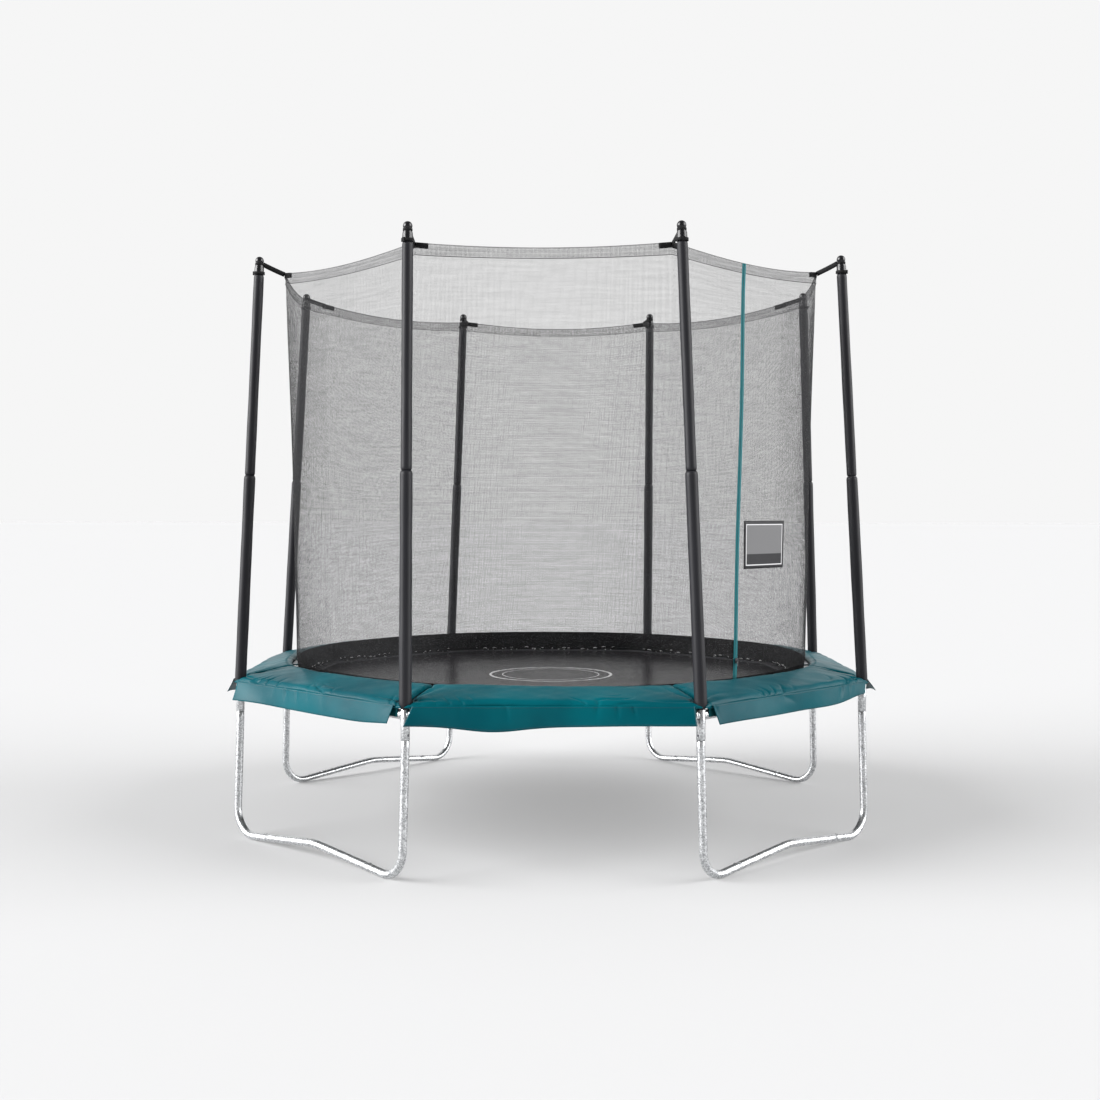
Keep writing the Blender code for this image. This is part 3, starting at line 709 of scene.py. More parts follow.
# Length, gap and radius of a fine sewing stitch, and how high it stands.
FINE_STITCH = (0.0045, 0.0025, 0.0006, 0.0)
thread = Paint("dark_grey_thread", (0.055, 0.055, 0.058), 0.6, specular=0.2)
thread.bump(thread.noise(thread.place(), 1500.0), 0.4, 0.0003)
full_turn = CORNER_0 + np.linspace(0, 2 * math.pi, 385)
beads = []
for at in (0.956, 0.985):
    beads += stitches(mat_surface(np.array(at), full_turn), 0.010, 0.006, 0.0007, 0.0021)
put(make_piece("mat_stitching", beads, thread.material), "mat", "mat_weave")

# A plain printed ring marks the middle of the mat, where the jumper should stay.
MARK_R = 0.285
print_paint = Paint("white_print", (0.62, 0.62, 0.62), 0.6, specular=0.2)
worn = print_paint.noise(print_paint.place(), 140.0, 3.0)
print_paint.shades(worn.above(0.3, 0.7), (0.40, 0.40, 0.40), (0.74, 0.74, 0.74))
mark_angle = np.linspace(0, 2 * math.pi, 97)[:-1]
mark_rings = []
for ring_r, wide in ((MARK_R, 0.011), (MARK_R * 0.80, 0.004)):
    section = np.array([(-wide / 2, 0.0002), (-wide / 2, 0.0006), (wide / 2, 0.0006), (wide / 2, 0.0002)])
    ring = polar(ring_r + section[:, None, 0], mark_angle[None, :], MAT_TOP + section[:, None, 1])
    flat_share = (ring_r / MAT_INRADIUS) ** 2
    ring[..., 2] += -MAT_DIP * (1 - flat_share) ** 2
    mark_rings.append(shell(ring, wrap_rows=True, wrap_columns=True))
put(make_piece("mat_ring_mark", mark_rings, print_paint.material), "mat", "mat_weave")

rings = []
loops = []
for side in range(SIDES):
    outward, onward = side_axes(side)
    for i in range(SPRINGS_PER_SIDE):
        along = (i + 0.5) / SPRINGS_PER_SIDE - 0.5
        far = outward * (INRADIUS - TUBE_R) + onward * along * SPRING_SPREAD
        direction = math.atan2(far[1], far[0])
        out = polar(1.0, direction, 0.0)
        tangent = np.cross(UP, out)
        edge = polar(outline_radius(direction, MAT_INRADIUS, MAT_BOW), direction, MAT_TOP)
        t = np.linspace(0, 1, 13)
        apex = np.interp(t, [0, 0.28, 0.5, 0.72, 1], [-0.018, -0.018, 0.014, -0.018, -0.018])
        wide = np.interp(t, [0, 0.28, 0.5, 0.72, 1], [0.0, -0.019, 0.0, 0.019, 0.0])
        triangle = edge + apex[:, None] * out + wide[:, None] * tangent + np.array([0, 0, 0.0042])
        rings.append(sweep(triangle, 0.0014, UP, 6))
        loop = edge + np.array([[-0.045], [-0.030], [-0.018], [-0.012]]) * out
        loop[:, 2] += np.array([0.0024, 0.0030, 0.0066, 0.0030])
        loops.append(ribbon(loop, 0.025, 0.0016, UP))
put(make_piece("mat_rings", rings, steel.material), "mat", "spring_steel")
put(make_piece("mat_ring_loops", loops, WEBBING), "mat", "mat_weave")

# ------------------------------------------------------------------ spring pads
# Eight pads of closed-cell foam in a teal coated cover, one over the springs of each side.
# A cover is cut to meet its neighbours at the poles, where it is tied down and creases.
PAD_INNER = 1.188
PAD_BOW = 0.80
PAD_RIDGE = 1.383
NOTCH_R = 0.030
PAD_SLIT = 0.0045
VOXEL = 0.006
SWELL_CAP = 0.006

vinyl = Paint("teal_coated_cloth", (0.0, 0.13, 0.16), 0.34, specular=0.08)
where = vinyl.place()
sun = vinyl.noise(where, 2.4, 3.0)
crumple = vinyl.noise(where, 26.0, 5.0, 0.62)
vinyl.shades(sun.above(0.3, 0.7), (0.000, 0.044, 0.058), (0.000, 0.080, 0.099))
vinyl.set("Roughness", 0.24 + 0.20 * vinyl.noise(where, 9.0, 4.0))
vinyl.bump(0.2 * vinyl.noise(where, 520.0, 2.0) + 1.2 * crumple, 0.40, 0.0022)
VINYL = vinyl.material


def ripples(along, across, seed, count=9, low=5.0, high=38.0):
    """A sum of sine waves of seeded directions, lengths and phases, from about -1 to 1."""
    rng = np.random.default_rng(seed)
    total = np.zeros(np.broadcast(along, across).shape)
    for _ in range(count):
        pitch = rng.uniform(low, high)
        slant = rng.uniform(-0.9, 0.9)
        phase = rng.uniform(0, 2 * math.pi)
        total += np.sin(pitch * (along + slant * across) + phase) * (low / pitch) ** 0.6
    return total / math.sqrt(count)


def pad_section():
    """Share of the way from inner edge to ridge, and height, round a pad's closed section."""
    outline = np.array([
        (0.000, 0.712), (0.012, 0.721), (0.060, 0.7265), (0.160, 0.7275), (0.320, 0.7210),
        (0.500, 0.7120), (0.680, 0.7030), (0.840, 0.6945), (0.930, 0.6890), (0.985, 0.6820),
        (1.000, 0.6740), (0.985, 0.6660), (0.900, 0.6655), (0.780, 0.6700), (0.600, 0.6800),
        (0.400, 0.6900), (0.200, 0.6990), (0.060, 0.7015), (0.012, 0.7040)])
    turn = np.concatenate([outline[-3:], outline, outline[:4]])
    travel = np.concatenate([[0], np.cumsum(np.linalg.norm(np.diff(turn * (0.2, 1.0), axis=0), axis=1))])
    fine = np.linspace(travel[3], travel[3 + len(outline)], 73)[:-1]
    weights = np.exp(-0.5 * ((fine[:, None] - travel[None, :]) / 0.006) ** 2)
    weights *= np.gradient(travel)[None, :]
    weights /= weights.sum(1, keepdims=True)
    return weights @ turn[:, 0], weights @ turn[:, 1]


def pad_edges(bare):
    """Distance from the centre line to the inner edge and to the ridge, at this turn."""
    return outline_radius(CORNER_0 + STEP / 2 + bare, PAD_INNER, PAD_BOW), PAD_RIDGE / np.cos(bare)


def pad_form(columns=190):
    """A pad's form about +Y: sections fanned about the centre line, slit and notched at its ends."""
    share, height = pad_section()
    t = np.linspace(-1, 1, columns)
    bare = t[:, None] * STEP / 2 + 0 * share
    inner, ridge = pad_edges(bare)
    radius = inner + (ridge - inner) * share
    notch = np.sqrt(np.clip(NOTCH_R ** 2 - (radius - CORNER_R + 0.002) ** 2, 0, None))
    bare = bare * (1 - np.maximum(notch, PAD_SLIT) / (radius * STEP / 2))
    inner, ridge = pad_edges(bare)
    radius = inner + (ridge - inner) * share
    round_in = np.clip((1 - np.abs(t)) / 0.018, 0, 1)
    round_in = np.sqrt(1 - (1 - round_in) ** 2)[:, None]
    centre_z = 0.7125 - 0.036 * share
    height = centre_z + (height - centre_z) * (0.35 + 0.65 * round_in)
    height = height - 0.006 * np.exp(-(1 - np.abs(t)) / 0.16)[:, None] * share
    return np.stack([radius * np.sin(bare), radius * np.cos(bare), height], -1)


def evaluated_mesh(piece):
    return bpy.data.meshes.new_from_object(piece.evaluated_get(bpy.context.evaluated_depsgraph_get()))


def vertex_array(mesh, field="vertices", key="co"):
    values = np.zeros(len(mesh.vertices) * 3)
    getattr(mesh, field).foreach_get(key, values)
    return values.reshape(-1, 3)


def puffed(form, slack):
    """The form as even cloth that is blown up a little round its foam, moved by at most the cap."""
    even = form.modifiers.new("even", "REMESH")
    even.mode = "VOXEL"
    even.voxel_size = VOXEL
    mesh = evaluated_mesh(form)
    form.modifiers.clear()
    form.data = mesh
    start = vertex_array(mesh)
    cloth = form.modifiers.new("cover", "CLOTH")
    cloth.settings.quality = 4
    cloth.settings.mass = 0.25
    cloth.settings.bending_stiffness = 0.35
    cloth.settings.use_pressure = True
    cloth.settings.uniform_pressure_force = 4.0
    cloth.settings.shrink_min = -slack
    cloth.settings.effector_weights.gravity = 0.0
    cloth.point_cache.frame_start = 1
    cloth.point_cache.frame_end = 20
    for step in range(1, 21):
        bpy.context.scene.frame_set(step)
    blown = evaluated_mesh(form)
    form.modifiers.clear()
    bpy.context.scene.frame_set(1)
    move = vertex_array(blown) - start
    far = np.linalg.norm(move, axis=1, keepdims=True)
    move *= SWELL_CAP * np.tanh(far / SWELL_CAP) / np.maximum(far, 1e-9)
    mesh.vertices.foreach_set("co", (start + move).ravel())
    bpy.data.meshes.remove(blown)


def creased(mesh, seed):
    """Adds folds that fan out from the poles, puckers along the ridge, and soft hollows."""
    points = vertex_array(mesh)
    normals = vertex_array(mesh, "vertex_normals", "vector")
    x, y, _ = points.T
    inner, ridge = pad_edges(np.arctan2(x, y))
    share = (np.hypot(x, y) - inner) / (ridge - inner)
    top = np.clip(normals[:, 2] * 1.6, 0, 1)
    end = HALF_SIDE - np.abs(x)
    fan = np.arctan2(INRADIUS - y, end)
    reach = np.hypot(INRADIUS - y, end)
    folds = (1 - np.abs(np.sin(fan * 3.6 + 0.9 * ripples(x, y, seed + 2, 5, 4.0, 14.0)))) ** 2.5
    lines = np.abs(np.sin(44 * x + 5.0 * ripples(x, 3 * y, seed + 4, 6, 6.0, 20.0)))
    gathers = np.clip(ripples(x, 0 * x, seed + 6, 4, 7.0, 16.0) * 1.6, 0, 1)
    pucker = (1 - lines) ** 3 * gathers * np.exp(-((share - 0.90) / 0.17) ** 2)
    depth = (0.0060 * folds * np.exp(-((reach - 0.10) / 0.10) ** 2) + 0.0075 * pucker
             + 0.0024 * ripples(x, y * 0.6, seed, 7, 5.0, 17.0)
             + 0.0010 * ripples(x, y * 2.5, seed + 1, 9, 24.0, 60.0))
    points = points - normals * (top * depth)[:, None]
    mesh.vertices.foreach_set("co", points.ravel())
    mesh.update()


forms = []
for slack in (0.030, 0.045):
    form = make_piece("pad_form", [closed(pad_form())], VINYL)
    puffed(form, slack)
    forms.append(form)
for side in range(SIDES):
    mesh = forms[side % 2].data.copy()
    mesh.name = f"pad_{side + 1}_cover"
    mesh.materials.clear()
    mesh.materials.append(VINYL)
    creased(mesh, 11 + 5 * side)
    mesh.transform(Matrix.Rotation(CORNER_0 + (side + 0.5) * STEP - math.pi / 2, 4, "Z"))
    mesh.polygons.foreach_set("use_smooth", np.ones(len(mesh.polygons), dtype=bool))
    pad = bpy.data.objects.new(mesh.name, mesh)
    bpy.context.scene.collection.objects.link(pad)
    finer = pad.modifiers.new("finer", "SUBSURF")
    finer.levels = finer.render_levels = 1
    put(pad, "frame", "pad_vinyl", f"pad_{side + 1}")
for form in forms:
    bpy.data.objects.remove(form, do_unlink=True)

# The hanging edge of each cover is a single thickness of the same coated cloth, hemmed at
# its foot and sewn to the pad a finger's width under the ridge.
FLAP_TOP = 0.677
FLAP_FOOT = 0.600
FLAP_THICK = 0.0014
# How far each end of a flap kicks out, and where along it and how far its foot sags.
FLAP_FLARE = [(0.006, 0.008), (0.008, 0.006), (0.012, 0.008), (0.010, 0.012),
              (0.008, 0.010), (0.010, 0.008), (0.010, 0.022), (0.036, 0.008)]
FLAP_SAG = [(-0.22, 0.017), (0.52, -0.026), (-0.52, -0.030), (0.20, 0.008),
            (-0.10, 0.010), (-0.25, 0.006), (0.52, -0.026), (0.35, 0.006)]


def flap_sheet(side, seed, flare, sag, columns=160, rows=14):
    """A strip that hangs from the ridge and waves more and more towards its free foot."""
    t = np.linspace(-1, 1, columns)[None, :]
    down = np.linspace(0, 1, rows)[:, None]
    legged = side in LEG_SIDES
    near = -0.529 + (0.024 if legged else -0.034) * down
    far = 0.531 - (0.022 if legged else -0.008) * down
    x = near + (far - near) * (t + 1) / 2
    wave = ripples(x, down * 0.05, seed, 6, 4.0, 22.0)
    lines = np.abs(np.sin(38 * x + 4.0 * ripples(x, down * 0.1, seed + 3, 6, 6.0, 20.0)))
    gathers = np.clip(ripples(x, 0 * x, seed + 5, 4, 7.0, 16.0) * 1.6, 0, 1)
    pucker = (1 - lines) ** 2.5 * gathers * np.exp(-((down - 0.15) / 0.35) ** 2)
    out = PAD_RIDGE + 0.0012 + 0.0040 * np.sin(down * math.pi / 2) + 0.0080 * down ** 1.2 * wave
    out = out - 0.0075 * pucker + 0.0022 * down
    at_end = np.exp(-(1 - t) / 0.22) * flare[1] + np.exp(-(1 + t) / 0.22) * flare[0]
    out = np.maximum(out + at_end * down ** 1.4, INRADIUS + STUB_R + 0.006)
    foot = FLAP_FOOT - 0.009 * ripples(x, 0 * x, seed + 9, 3, 2.5, 6.5)
    foot = foot - sag[1] * np.exp(-((x - sag[0]) / 0.15) ** 2)
    height = FLAP_TOP + (foot - FLAP_TOP) * down
    outward, onward = side_axes(side)
    return out[..., None] * outward + x[..., None] * onward + height[..., None] * UP


def solidify(piece, thick, offset=-1.0):
    """Gives an open sheet its thickness, with a rim."""
    wall = piece.modifiers.new("thickness", "SOLIDIFY")
    wall.thickness = thick
    wall.offset = offset
    wall.use_even_offset = False


dark_lining = Paint("dark_teal_lining", (0.0, 0.045, 0.052), 0.6, specular=0.1)
lining_grain = dark_lining.noise(dark_lining.place(), 500.0)
dark_lining.shades(lining_grain, (0.0, 0.034, 0.040), (0.0, 0.060, 0.068))
for side in range(SIDES):
    sheet_points = flap_sheet(side, 40 + 7 * side, FLAP_FLARE[side], FLAP_SAG[side])
    flap = make_piece(f"pad_{side + 1}_flap", [shell(sheet_points)], VINYL, outward=False)
    solidify(flap, FLAP_THICK, 0.0)
    put(flap, "frame", "pad_vinyl")
    wide = float(np.linalg.norm(sheet_points[0, -1] - sheet_points[0, 0]))
    outward, onward = side_axes(side)
    beads = (stitches(sheet_points[1] + outward * 0.0009, *FINE_STITCH)
             + stitches(sheet_points[-2] + outward * 0.0009, *FINE_STITCH))
    put(make_piece(f"pad_{side + 1}_stitching", beads, thread.material), "frame", "pad_vinyl")

# Under each corner the cover's lining wraps down over the frame and stops at the upright,
# and a black tape closes the slit between two neighbouring pads.
tucks, tapes = [], []
for side in range(SIDES):
    outward, onward = side_axes(side)
    for sign in (-1, 1):
        x = sign * np.linspace(HALF_SIDE - 0.150, HALF_SIDE - STUB_R - 0.003, 12)
        dip = 0.004 * ripples(x, 0 * x, 90 + side, 4, 20.0, 60.0)
        path = outward * (INRADIUS + SOCKET_R + 0.0022) + x[:, None] * onward
        path[:, 2] = 0.6515 + dip
        tucks.append(ribbon(path, 0.046, 0.0012, outward))
    corner = CORNER_0 + side * STEP
    inner = outline_radius(corner, PAD_INNER, PAD_BOW)
    t = np.linspace(0.02, 1, 10)
    run = inner + (CORNER_R - LOWER_SLEEVE_R - 0.006 - inner) * t
    height = np.interp(t, [0, 0.1, 0.25, 1.0], [0.712, 0.7165, 0.715, 0.682]) - 0.003
    tapes.append(ribbon(polar(run, corner, height), 0.030, 0.0014, UP))
put(make_piece("pad_corner_linings", tucks, dark_lining.material), "frame", "pad_vinyl")
put(make_piece("pad_slit_tapes", tapes, WEBBING), "frame", "pad_vinyl")

# ------------------------------------------------------------------ safety net
# Eight panels of fine knitted polyester mesh, joined at the poles. The top edge is folded
# double, and a band of dense black cloth closes the gap between its foot and the mat.
NET_FOOT = 0.735
HEM_TALL = 0.044
PANEL_WIDE = 0.966
KNIT_PITCH = 0.0042


def foot_height(angle):
    """Height of the mesh's lower edge, which is pulled down a little at the front."""
    return NET_FOOT - 0.016 * np.clip(-np.sin(angle), 0, 1) ** 2


def netting(name, pitch, thread_share, dark, light, streaks):
    """See-through knit: threads at a fixed pitch both ways are solid, the holes are open."""
    paint = Paint(name, dark, 0.7, specular=0.1)
    cloth = paint.place("UV")
    u = paint.part(cloth, 0)
    v = paint.part(cloth, 1)
    edge = math.sin(math.pi * (0.5 - thread_share))
    uprights = u.wave(pitch).above(0.5 + 0.5 * edge - 0.10, 0.5 + 0.5 * edge + 0.06)
    courses = v.wave(pitch).above(0.5 + 0.5 * edge - 0.10, 0.5 + 0.5 * edge + 0.06)
    knit = uprights.math("MAXIMUM", uprights, courses)
    rows = paint.noise(paint.scaled(cloth, (5.0, 85.0, 1.0)), 1.0, 4.0, 0.7)
    ribs = paint.noise(paint.scaled(cloth, (150.0, 9.0, 1.0)), 1.0, 3.0, 0.6)
    uneven = 0.7 * rows + 0.3 * ribs
    cover = 0.84 * (1.0 - streaks) + 1.68 * streaks * uneven
    paint.set("Alpha", knit * cover + 0.045 * rows.above(0.42, 0.75))
    paint.shades(uneven, dark, light)
    return paint.material


THREAD_DARK, THREAD_LIGHT = (0.016, 0.016, 0.017), (0.034, 0.034, 0.036)
NET_CLOTH = netting("grey_knit_mesh", KNIT_PITCH, 0.062, THREAD_DARK, THREAD_LIGHT, 0.55)
NET_BAND = netting("grey_knit_hem", 0.0034, 0.115, (0.050, 0.050, 0.052), (0.085, 0.085, 0.088), 0.30)


def panel_angles(side, heights, share):
    """Directions across a panel, one row for each height, at these shares of the way along it."""
    ends = np.array([[net_corner(side, z), net_corner(side + 1, z)] for z in heights])
    return ends[:, :1] + (ends[:, 1:] - ends[:, :1]) * share


def net_panel(side, low, high, columns, rows, out=0.0):
    """One panel between two corners, with its cloth coordinates in metres."""
    rise = np.linspace(0, 1, rows)
    middle = low(CORNER_0 + (side + 0.5) * STEP) if callable(low) else low
    t = np.linspace(0, 1, columns)[None, :]
    angle = panel_angles(side, middle + (high - middle) * rise, t)
    start = foot_height(angle) if callable(low) else low
    height = start + (high - start) * rise[:, None]
    points = net_point(angle, height, out)
    uv = np.stack(np.broadcast_arrays((side + t) * PANEL_WIDE, height), -1)
    return points, uv


rib_paint = Paint("grey_rib_thread", (0.10, 0.10, 0.103), 0.7, specular=0.2)
rib_tone = rib_paint.noise(rib_paint.place(), 30.0)
rib_paint.shades(rib_tone, THREAD_DARK, THREAD_LIGHT)
RIB_THREAD = rib_paint.material


def net_ribs(side, pitch=KNIT_PITCH, wide=0.00004, deep=0.00012, levels=9):
    """The knit's upright threads: three-sided strands, deeper than wide, that follow the panel."""
    height = np.linspace(0, 1, levels)
    count = int(PANEL_WIDE / pitch)
    spread = (np.arange(count) + 0.5) / count
    angle = panel_angles(side, NET_FOOT + (NET_TOP - NET_FOOT) * height, spread).T
    rise = foot_height(angle) + (NET_TOP - foot_height(angle)) * height
    strands = []
    for shift, out in ((-wide, -deep), (wide, -deep), (0.0, deep)):
        strands.append(net_point(angle + shift / 1.2, rise, out))
    strands = np.stack(strands, 2)
    return [closed(strand) for strand in strands]


panel_names = [f"net_panel_{side + 1}" for side in range(SIDES)]
for side, name in enumerate(panel_names):
    points, uv = net_panel(side, foot_height, NET_TOP, 220, 32)
    panel = make_piece(name, [shell(points)], NET_CLOTH, outward=False, uv=uv)
    solidify(panel, 0.0014, 0.0)
    put(panel, "frame", "netting", "net")
    ribs = make_piece(f"net_ribs_{side + 1}", net_ribs(side), RIB_THREAD)
    put(ribs, "frame", "netting", "net")
    points, uv = net_panel(side, NET_TOP - HEM_TALL, NET_TOP + 0.0005, 200, 8, 0.0016)
    hem_piece = make_piece(f"net_hem_{side + 1}", [shell(points)], NET_BAND, outward=False, uv=uv)
    solidify(hem_piece, 0.0012, 0.0)
    put(hem_piece, "frame", "netting")

# Short black reinforcing tabs run along the hem from every corner, and a dark cord is
# stitched into the top fold and along the foot of the hem.
trims, cords = [], []
for index in range(SIDES):
    for sign in (-1, 1):
        spread = net_corner(index, NET_TOP) + sign * np.linspace(0.001, 0.050, 8) / 1.25
        path = net_point(spread, NET_TOP - 0.009, 0.0038, 0.0)
        facing = polar(1.0, spread, 0.0)
        trims.append(ribbon(path, 0.021, 0.0022, facing))
        trims.append(ribbon(path - 0.0066 * facing, 0.021, 0.0016, facing))
    for level in (NET_TOP - 0.0008, NET_TOP - HEM_TALL):
        spread = np.linspace(net_corner(index, level), net_corner(index + 1, level), 60)
        cords.append(sweep(net_point(spread, level, 0.0024, 0.5), 0.0011, UP, 6))
put(make_piece("net_corner_tabs", trims, WEBBING), "frame", "netting")
cord_paint = Paint("charcoal_hem_thread", (0.050, 0.050, 0.053), 0.7, specular=0.2)
cord_paint.bump(cord_paint.noise(cord_paint.place(), 900.0), 0.4, 0.0004)
put(make_piece("net_hem_threads", cords, cord_paint.material), "frame", "netting")

skirt_paint = Paint("dense_black_cloth", (0.014, 0.014, 0.016), 0.7, specular=0.03)
where = skirt_paint.place()
flecks = skirt_paint.noise(skirt_paint.scaled(where, (1.0, 1.0, 2.6)), 120.0, 5.0, 0.75)
skirt_paint.shades(flecks.above(0.56, 0.66), (0.001, 0.001, 0.001), (0.100, 0.100, 0.103))
skirt_paint.bump(flecks, 0.8, 0.003)
angle = CORNER_0 + np.linspace(0, 2 * math.pi, SIDES * 130 + 1)[:-1]
down = np.linspace(0, 1, 16)[:, None]
top_edge = net_point(angle, foot_height(angle) + 0.004, -0.0010)
foot_edge = polar(outline_radius(angle, MAT_INRADIUS - 0.0060, MAT_BOW), angle, MAT_TOP + 0.0022)
sagging = np.sin(down * math.pi)
bulge = (0.0038 * ripples(angle * 1.2, down * 0.3, 5, 9, 18.0, 60.0)
         + 0.0022 * ripples(angle * 1.2, down * 0.5, 6, 9, 60.0, 130.0) - 0.007) * sagging
kick = np.concatenate([down ** 2.2, down ** 2.2, down], 1)[:, None]
skirt_points = top_edge[None] + (foot_edge - top_edge)[None] * kick
skirt_points = skirt_points + bulge[..., None] * polar(1.0, angle, 0.0)[None]
skirt = make_piece("net_skirt", [shell(skirt_points, wrap_columns=True)], skirt_paint.material,
                   outward=False)
solidify(skirt, 0.0012, 0.0)
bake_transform(skirt)

# The skirt is laced to the mat with a cord whose pale colour is a painted highlight: its short
# uneven dashes stand in for the glints of the spring hooks and mat rings behind the skirt.
glint_cord_paint = Paint("pale_cord_painted_glints", (0.80, 0.80, 0.80), 0.5, specular=0.4)
glint_cord_paint.bump(glint_cord_paint.noise(glint_cord_paint.place(), 800.0), 0.5, 0.0005)
rng = np.random.default_rng(21)
dashes = []
at = 0.0
while at < 2 * math.pi:
    long = rng.uniform(0.006, 0.022) / 1.2
    direction = at + np.linspace(0, long, 6)
    arched = 0.003 * np.sin(np.linspace(0, math.pi, 6))
    edge = outline_radius(direction, MAT_INRADIUS - 0.010, MAT_BOW) - arched
    rise = MAT_TOP + 0.0060 + rng.uniform(0.0, 0.011) + arched
    dashes.append(sweep(polar(edge, direction, rise), rng.uniform(0.0006, 0.0011), UP, 6))
    at += long + rng.uniform(0.008, 0.070) / 1.2
put(make_piece("skirt_lacing_painted_glints", dashes, glint_cord_paint.material), "mat", "mat_weave")

# ------------------------------------------------------------------ doorway zip
# A long coil zip on teal woven tape closes the doorway in one panel. Its metal slider is
# down when the door is shut, and a flat pull hangs from the slider's bridge.
ZIP_LOW = (math.radians(308.9), 0.725)
ZIP_HIGH = (math.radians(311.0), NET_TOP - 0.001)
TAPE_WIDE = 0.024

tape_paint = Paint("teal_zip_tape", (0.0, 0.17, 0.19), 0.6, specular=0.15)
where = tape_paint.place()
rib = tape_paint.noise(tape_paint.scaled(where, (1.0, 1.0, 6.0)), 160.0, 2.0)
tape_paint.shades(rib, (0.0, 0.060, 0.072), (0.004, 0.145, 0.162))
tape_paint.bump(rib, 0.5, 0.0008)
teeth_paint = Paint("teal_zip_teeth", (0.002, 0.085, 0.095), 0.35)
teeth_paint.set("Roughness", 0.25 + 0.25 * teeth_paint.noise(teeth_paint.place(), 300.0))

climb = np.linspace(0, 1, 90)
zip_angle = ZIP_LOW[0] + (ZIP_HIGH[0] - ZIP_LOW[0]) * climb
zip_height = ZIP_LOW[1] + (ZIP_HIGH[1] - ZIP_LOW[1]) * climb
zip_line = net_point(zip_angle, zip_height, 0.0040, 0.0)
door_out, door_on = side_axes(1)
tape = make_piece("door_zip_tape", [ribbon(zip_line, TAPE_WIDE, 0.0012, door_out)], tape_paint.material)
put(tape, "frame", "zip_tape", "zip_tape")
pitch = 0.0046
tooth_count = int(np.linalg.norm(zip_line[-1] - zip_line[0]) / pitch)
teeth = []
for row_sign in (-1, 1):
    spots = (np.arange(tooth_count) + (0.25 if row_sign < 0 else 0.75)) / tooth_count
    at = np.stack([np.interp(spots, climb, zip_line[:, k]) for k in range(3)], -1)
    corners = np.array([(-0.0030, -0.0008), (0.0008, -0.0008), (0.0008, 0.0008), (-0.0030, 0.0008)])
    base = at[:, None] + row_sign * corners[None, :, :1] * -door_on + corners[None, :, 1:] * UP
    low_face = base + door_out * 0.0004
    high_face = base + door_out * 0.0019
    for low_ring, high_ring in zip(low_face, high_face):
        teeth.append(closed(np.stack([low_ring, high_ring])))
put(make_piece("door_zip_teeth", teeth, teeth_paint.material), "frame", "zip_tape")

enamel = Paint("dark_slider_enamel", (0.09, 0.09, 0.10), 0.3, 0.85)
scuffed = enamel.noise(enamel.place(), 240.0, 3.0)
enamel.shades(scuffed.above(0.5, 0.8), (0.05, 0.05, 0.055), (0.30, 0.30, 0.31))
slide_joint = [joint for joint in frame["joints"] if joint["name"] == "zip_slide"][0]
flip_joint = [joint for joint in frame["joints"] if joint["name"] == "zip_pull_flip"][0]
zip_up = np.array(slide_joint["axis"], float)
pin_side = np.array(flip_joint["axis"], float)
pin = np.array(flip_joint["pos_m"], float)
zip_out = np.cross(zip_up, pin_side)
if zip_out @ door_out < 0:
    zip_out = -zip_out


def eased_outline(half_wide, half_tall, square):
    """Twenty-four points round an oval whose sides are squared off by powers below one."""
    around = np.linspace(0, 2 * math.pi, 25)[:-1]
    x, y = np.cos(around), np.sin(around)
    return np.stack([half_wide * np.sign(x) * np.abs(x) ** square,
                     half_tall * np.sign(y) * np.abs(y) ** 0.7], -1)


def plate(centre, outline, thick, facing, up):
    """A flat plate with eased edges: an outline in the plane square to facing, stacked four times."""
    outline = np.asarray(outline, float)
    right = np.cross(up, facing)
    ease = np.array([0.93, 1.0, 1.0, 0.93])
    deep = thick * np.array([-0.5, -0.35, 0.35, 0.5])
    ring = (outline[None, :, :1] * right + outline[None, :, 1:] * up) * ease[:, None, None]
    return closed(centre + ring + deep[:, None, None] * facing)


around = np.linspace(0, 2 * math.pi, 25)[:-1]
body_wide = 0.0068 - 0.0014 * np.clip(-np.sin(around), 0, 1)
body_outline = eased_outline(body_wide, 0.0118, 0.6)
seat = pin - zip_out * 0.0085 - zip_up * 0.006
slider_parts = [plate(seat + zip_out * 0.0036, body_outline, 0.0046, zip_out, zip_up)]
arch = np.radians(np.linspace(-10, 190, 13))
bridge = (pin + zip_up * (0.0062 * np.cos(arch))[:, None]
          + zip_out * (0.0042 * np.sin(arch) - 0.0014)[:, None])
slider_parts.append(sweep(bridge, 0.0011, pin_side, 8))
put(make_piece("door_zip_slider", slider_parts, enamel.material),
    "zip_slider", "zip_metal", "zip_slider")
pull_plate = plate(pin - zip_up * 0.0182, eased_outline(0.0034, 0.0108, 0.5), 0.0018, zip_out, zip_up)
eye = pin - zip_up * 0.0040
eye_ring = eye + 0.0040 * (np.cos(around)[:, None] * zip_up + np.sin(around)[:, None] * pin_side)
eye_wire = sweep(np.vstack([eye_ring, eye_ring[:1]]), 0.0008, zip_out, 8)
put(make_piece("door_zip_pull", [pull_plate, eye_wire], enamel.material),
    "zip_pull", "zip_metal", "zip_pull")

# ------------------------------------------------------------------ sewn patch
# A plain black cloth patch is sewn flat on the net beside the doorway.
PATCH_FROM, PATCH_TO = math.radians(311.6), math.radians(325.6)
PATCH_LOW, PATCH_HIGH = 1.172, 1.370
PATCH_WIDE = 0.292
patch_paint = Paint("black_patch_cloth", (0.018, 0.018, 0.020), 0.55, specular=0.2)
cloth = patch_paint.place("UV")
grain = patch_paint.noise(cloth, 600.0, 2.0)
across = patch_paint.part(cloth, 0)
upward = patch_paint.part(cloth, 1)


def window(inset):
    """1 inside a rectangle this far in from the patch's edge, 0 outside it."""
    far_x, far_y = 0.291 - inset, 0.197 - inset
    return (across.above(inset, inset + 0.001) * (1 - across.above(far_x, far_x + 0.001))
            * upward.above(inset, inset + 0.001) * (1 - upward.above(far_y, far_y + 0.001)))


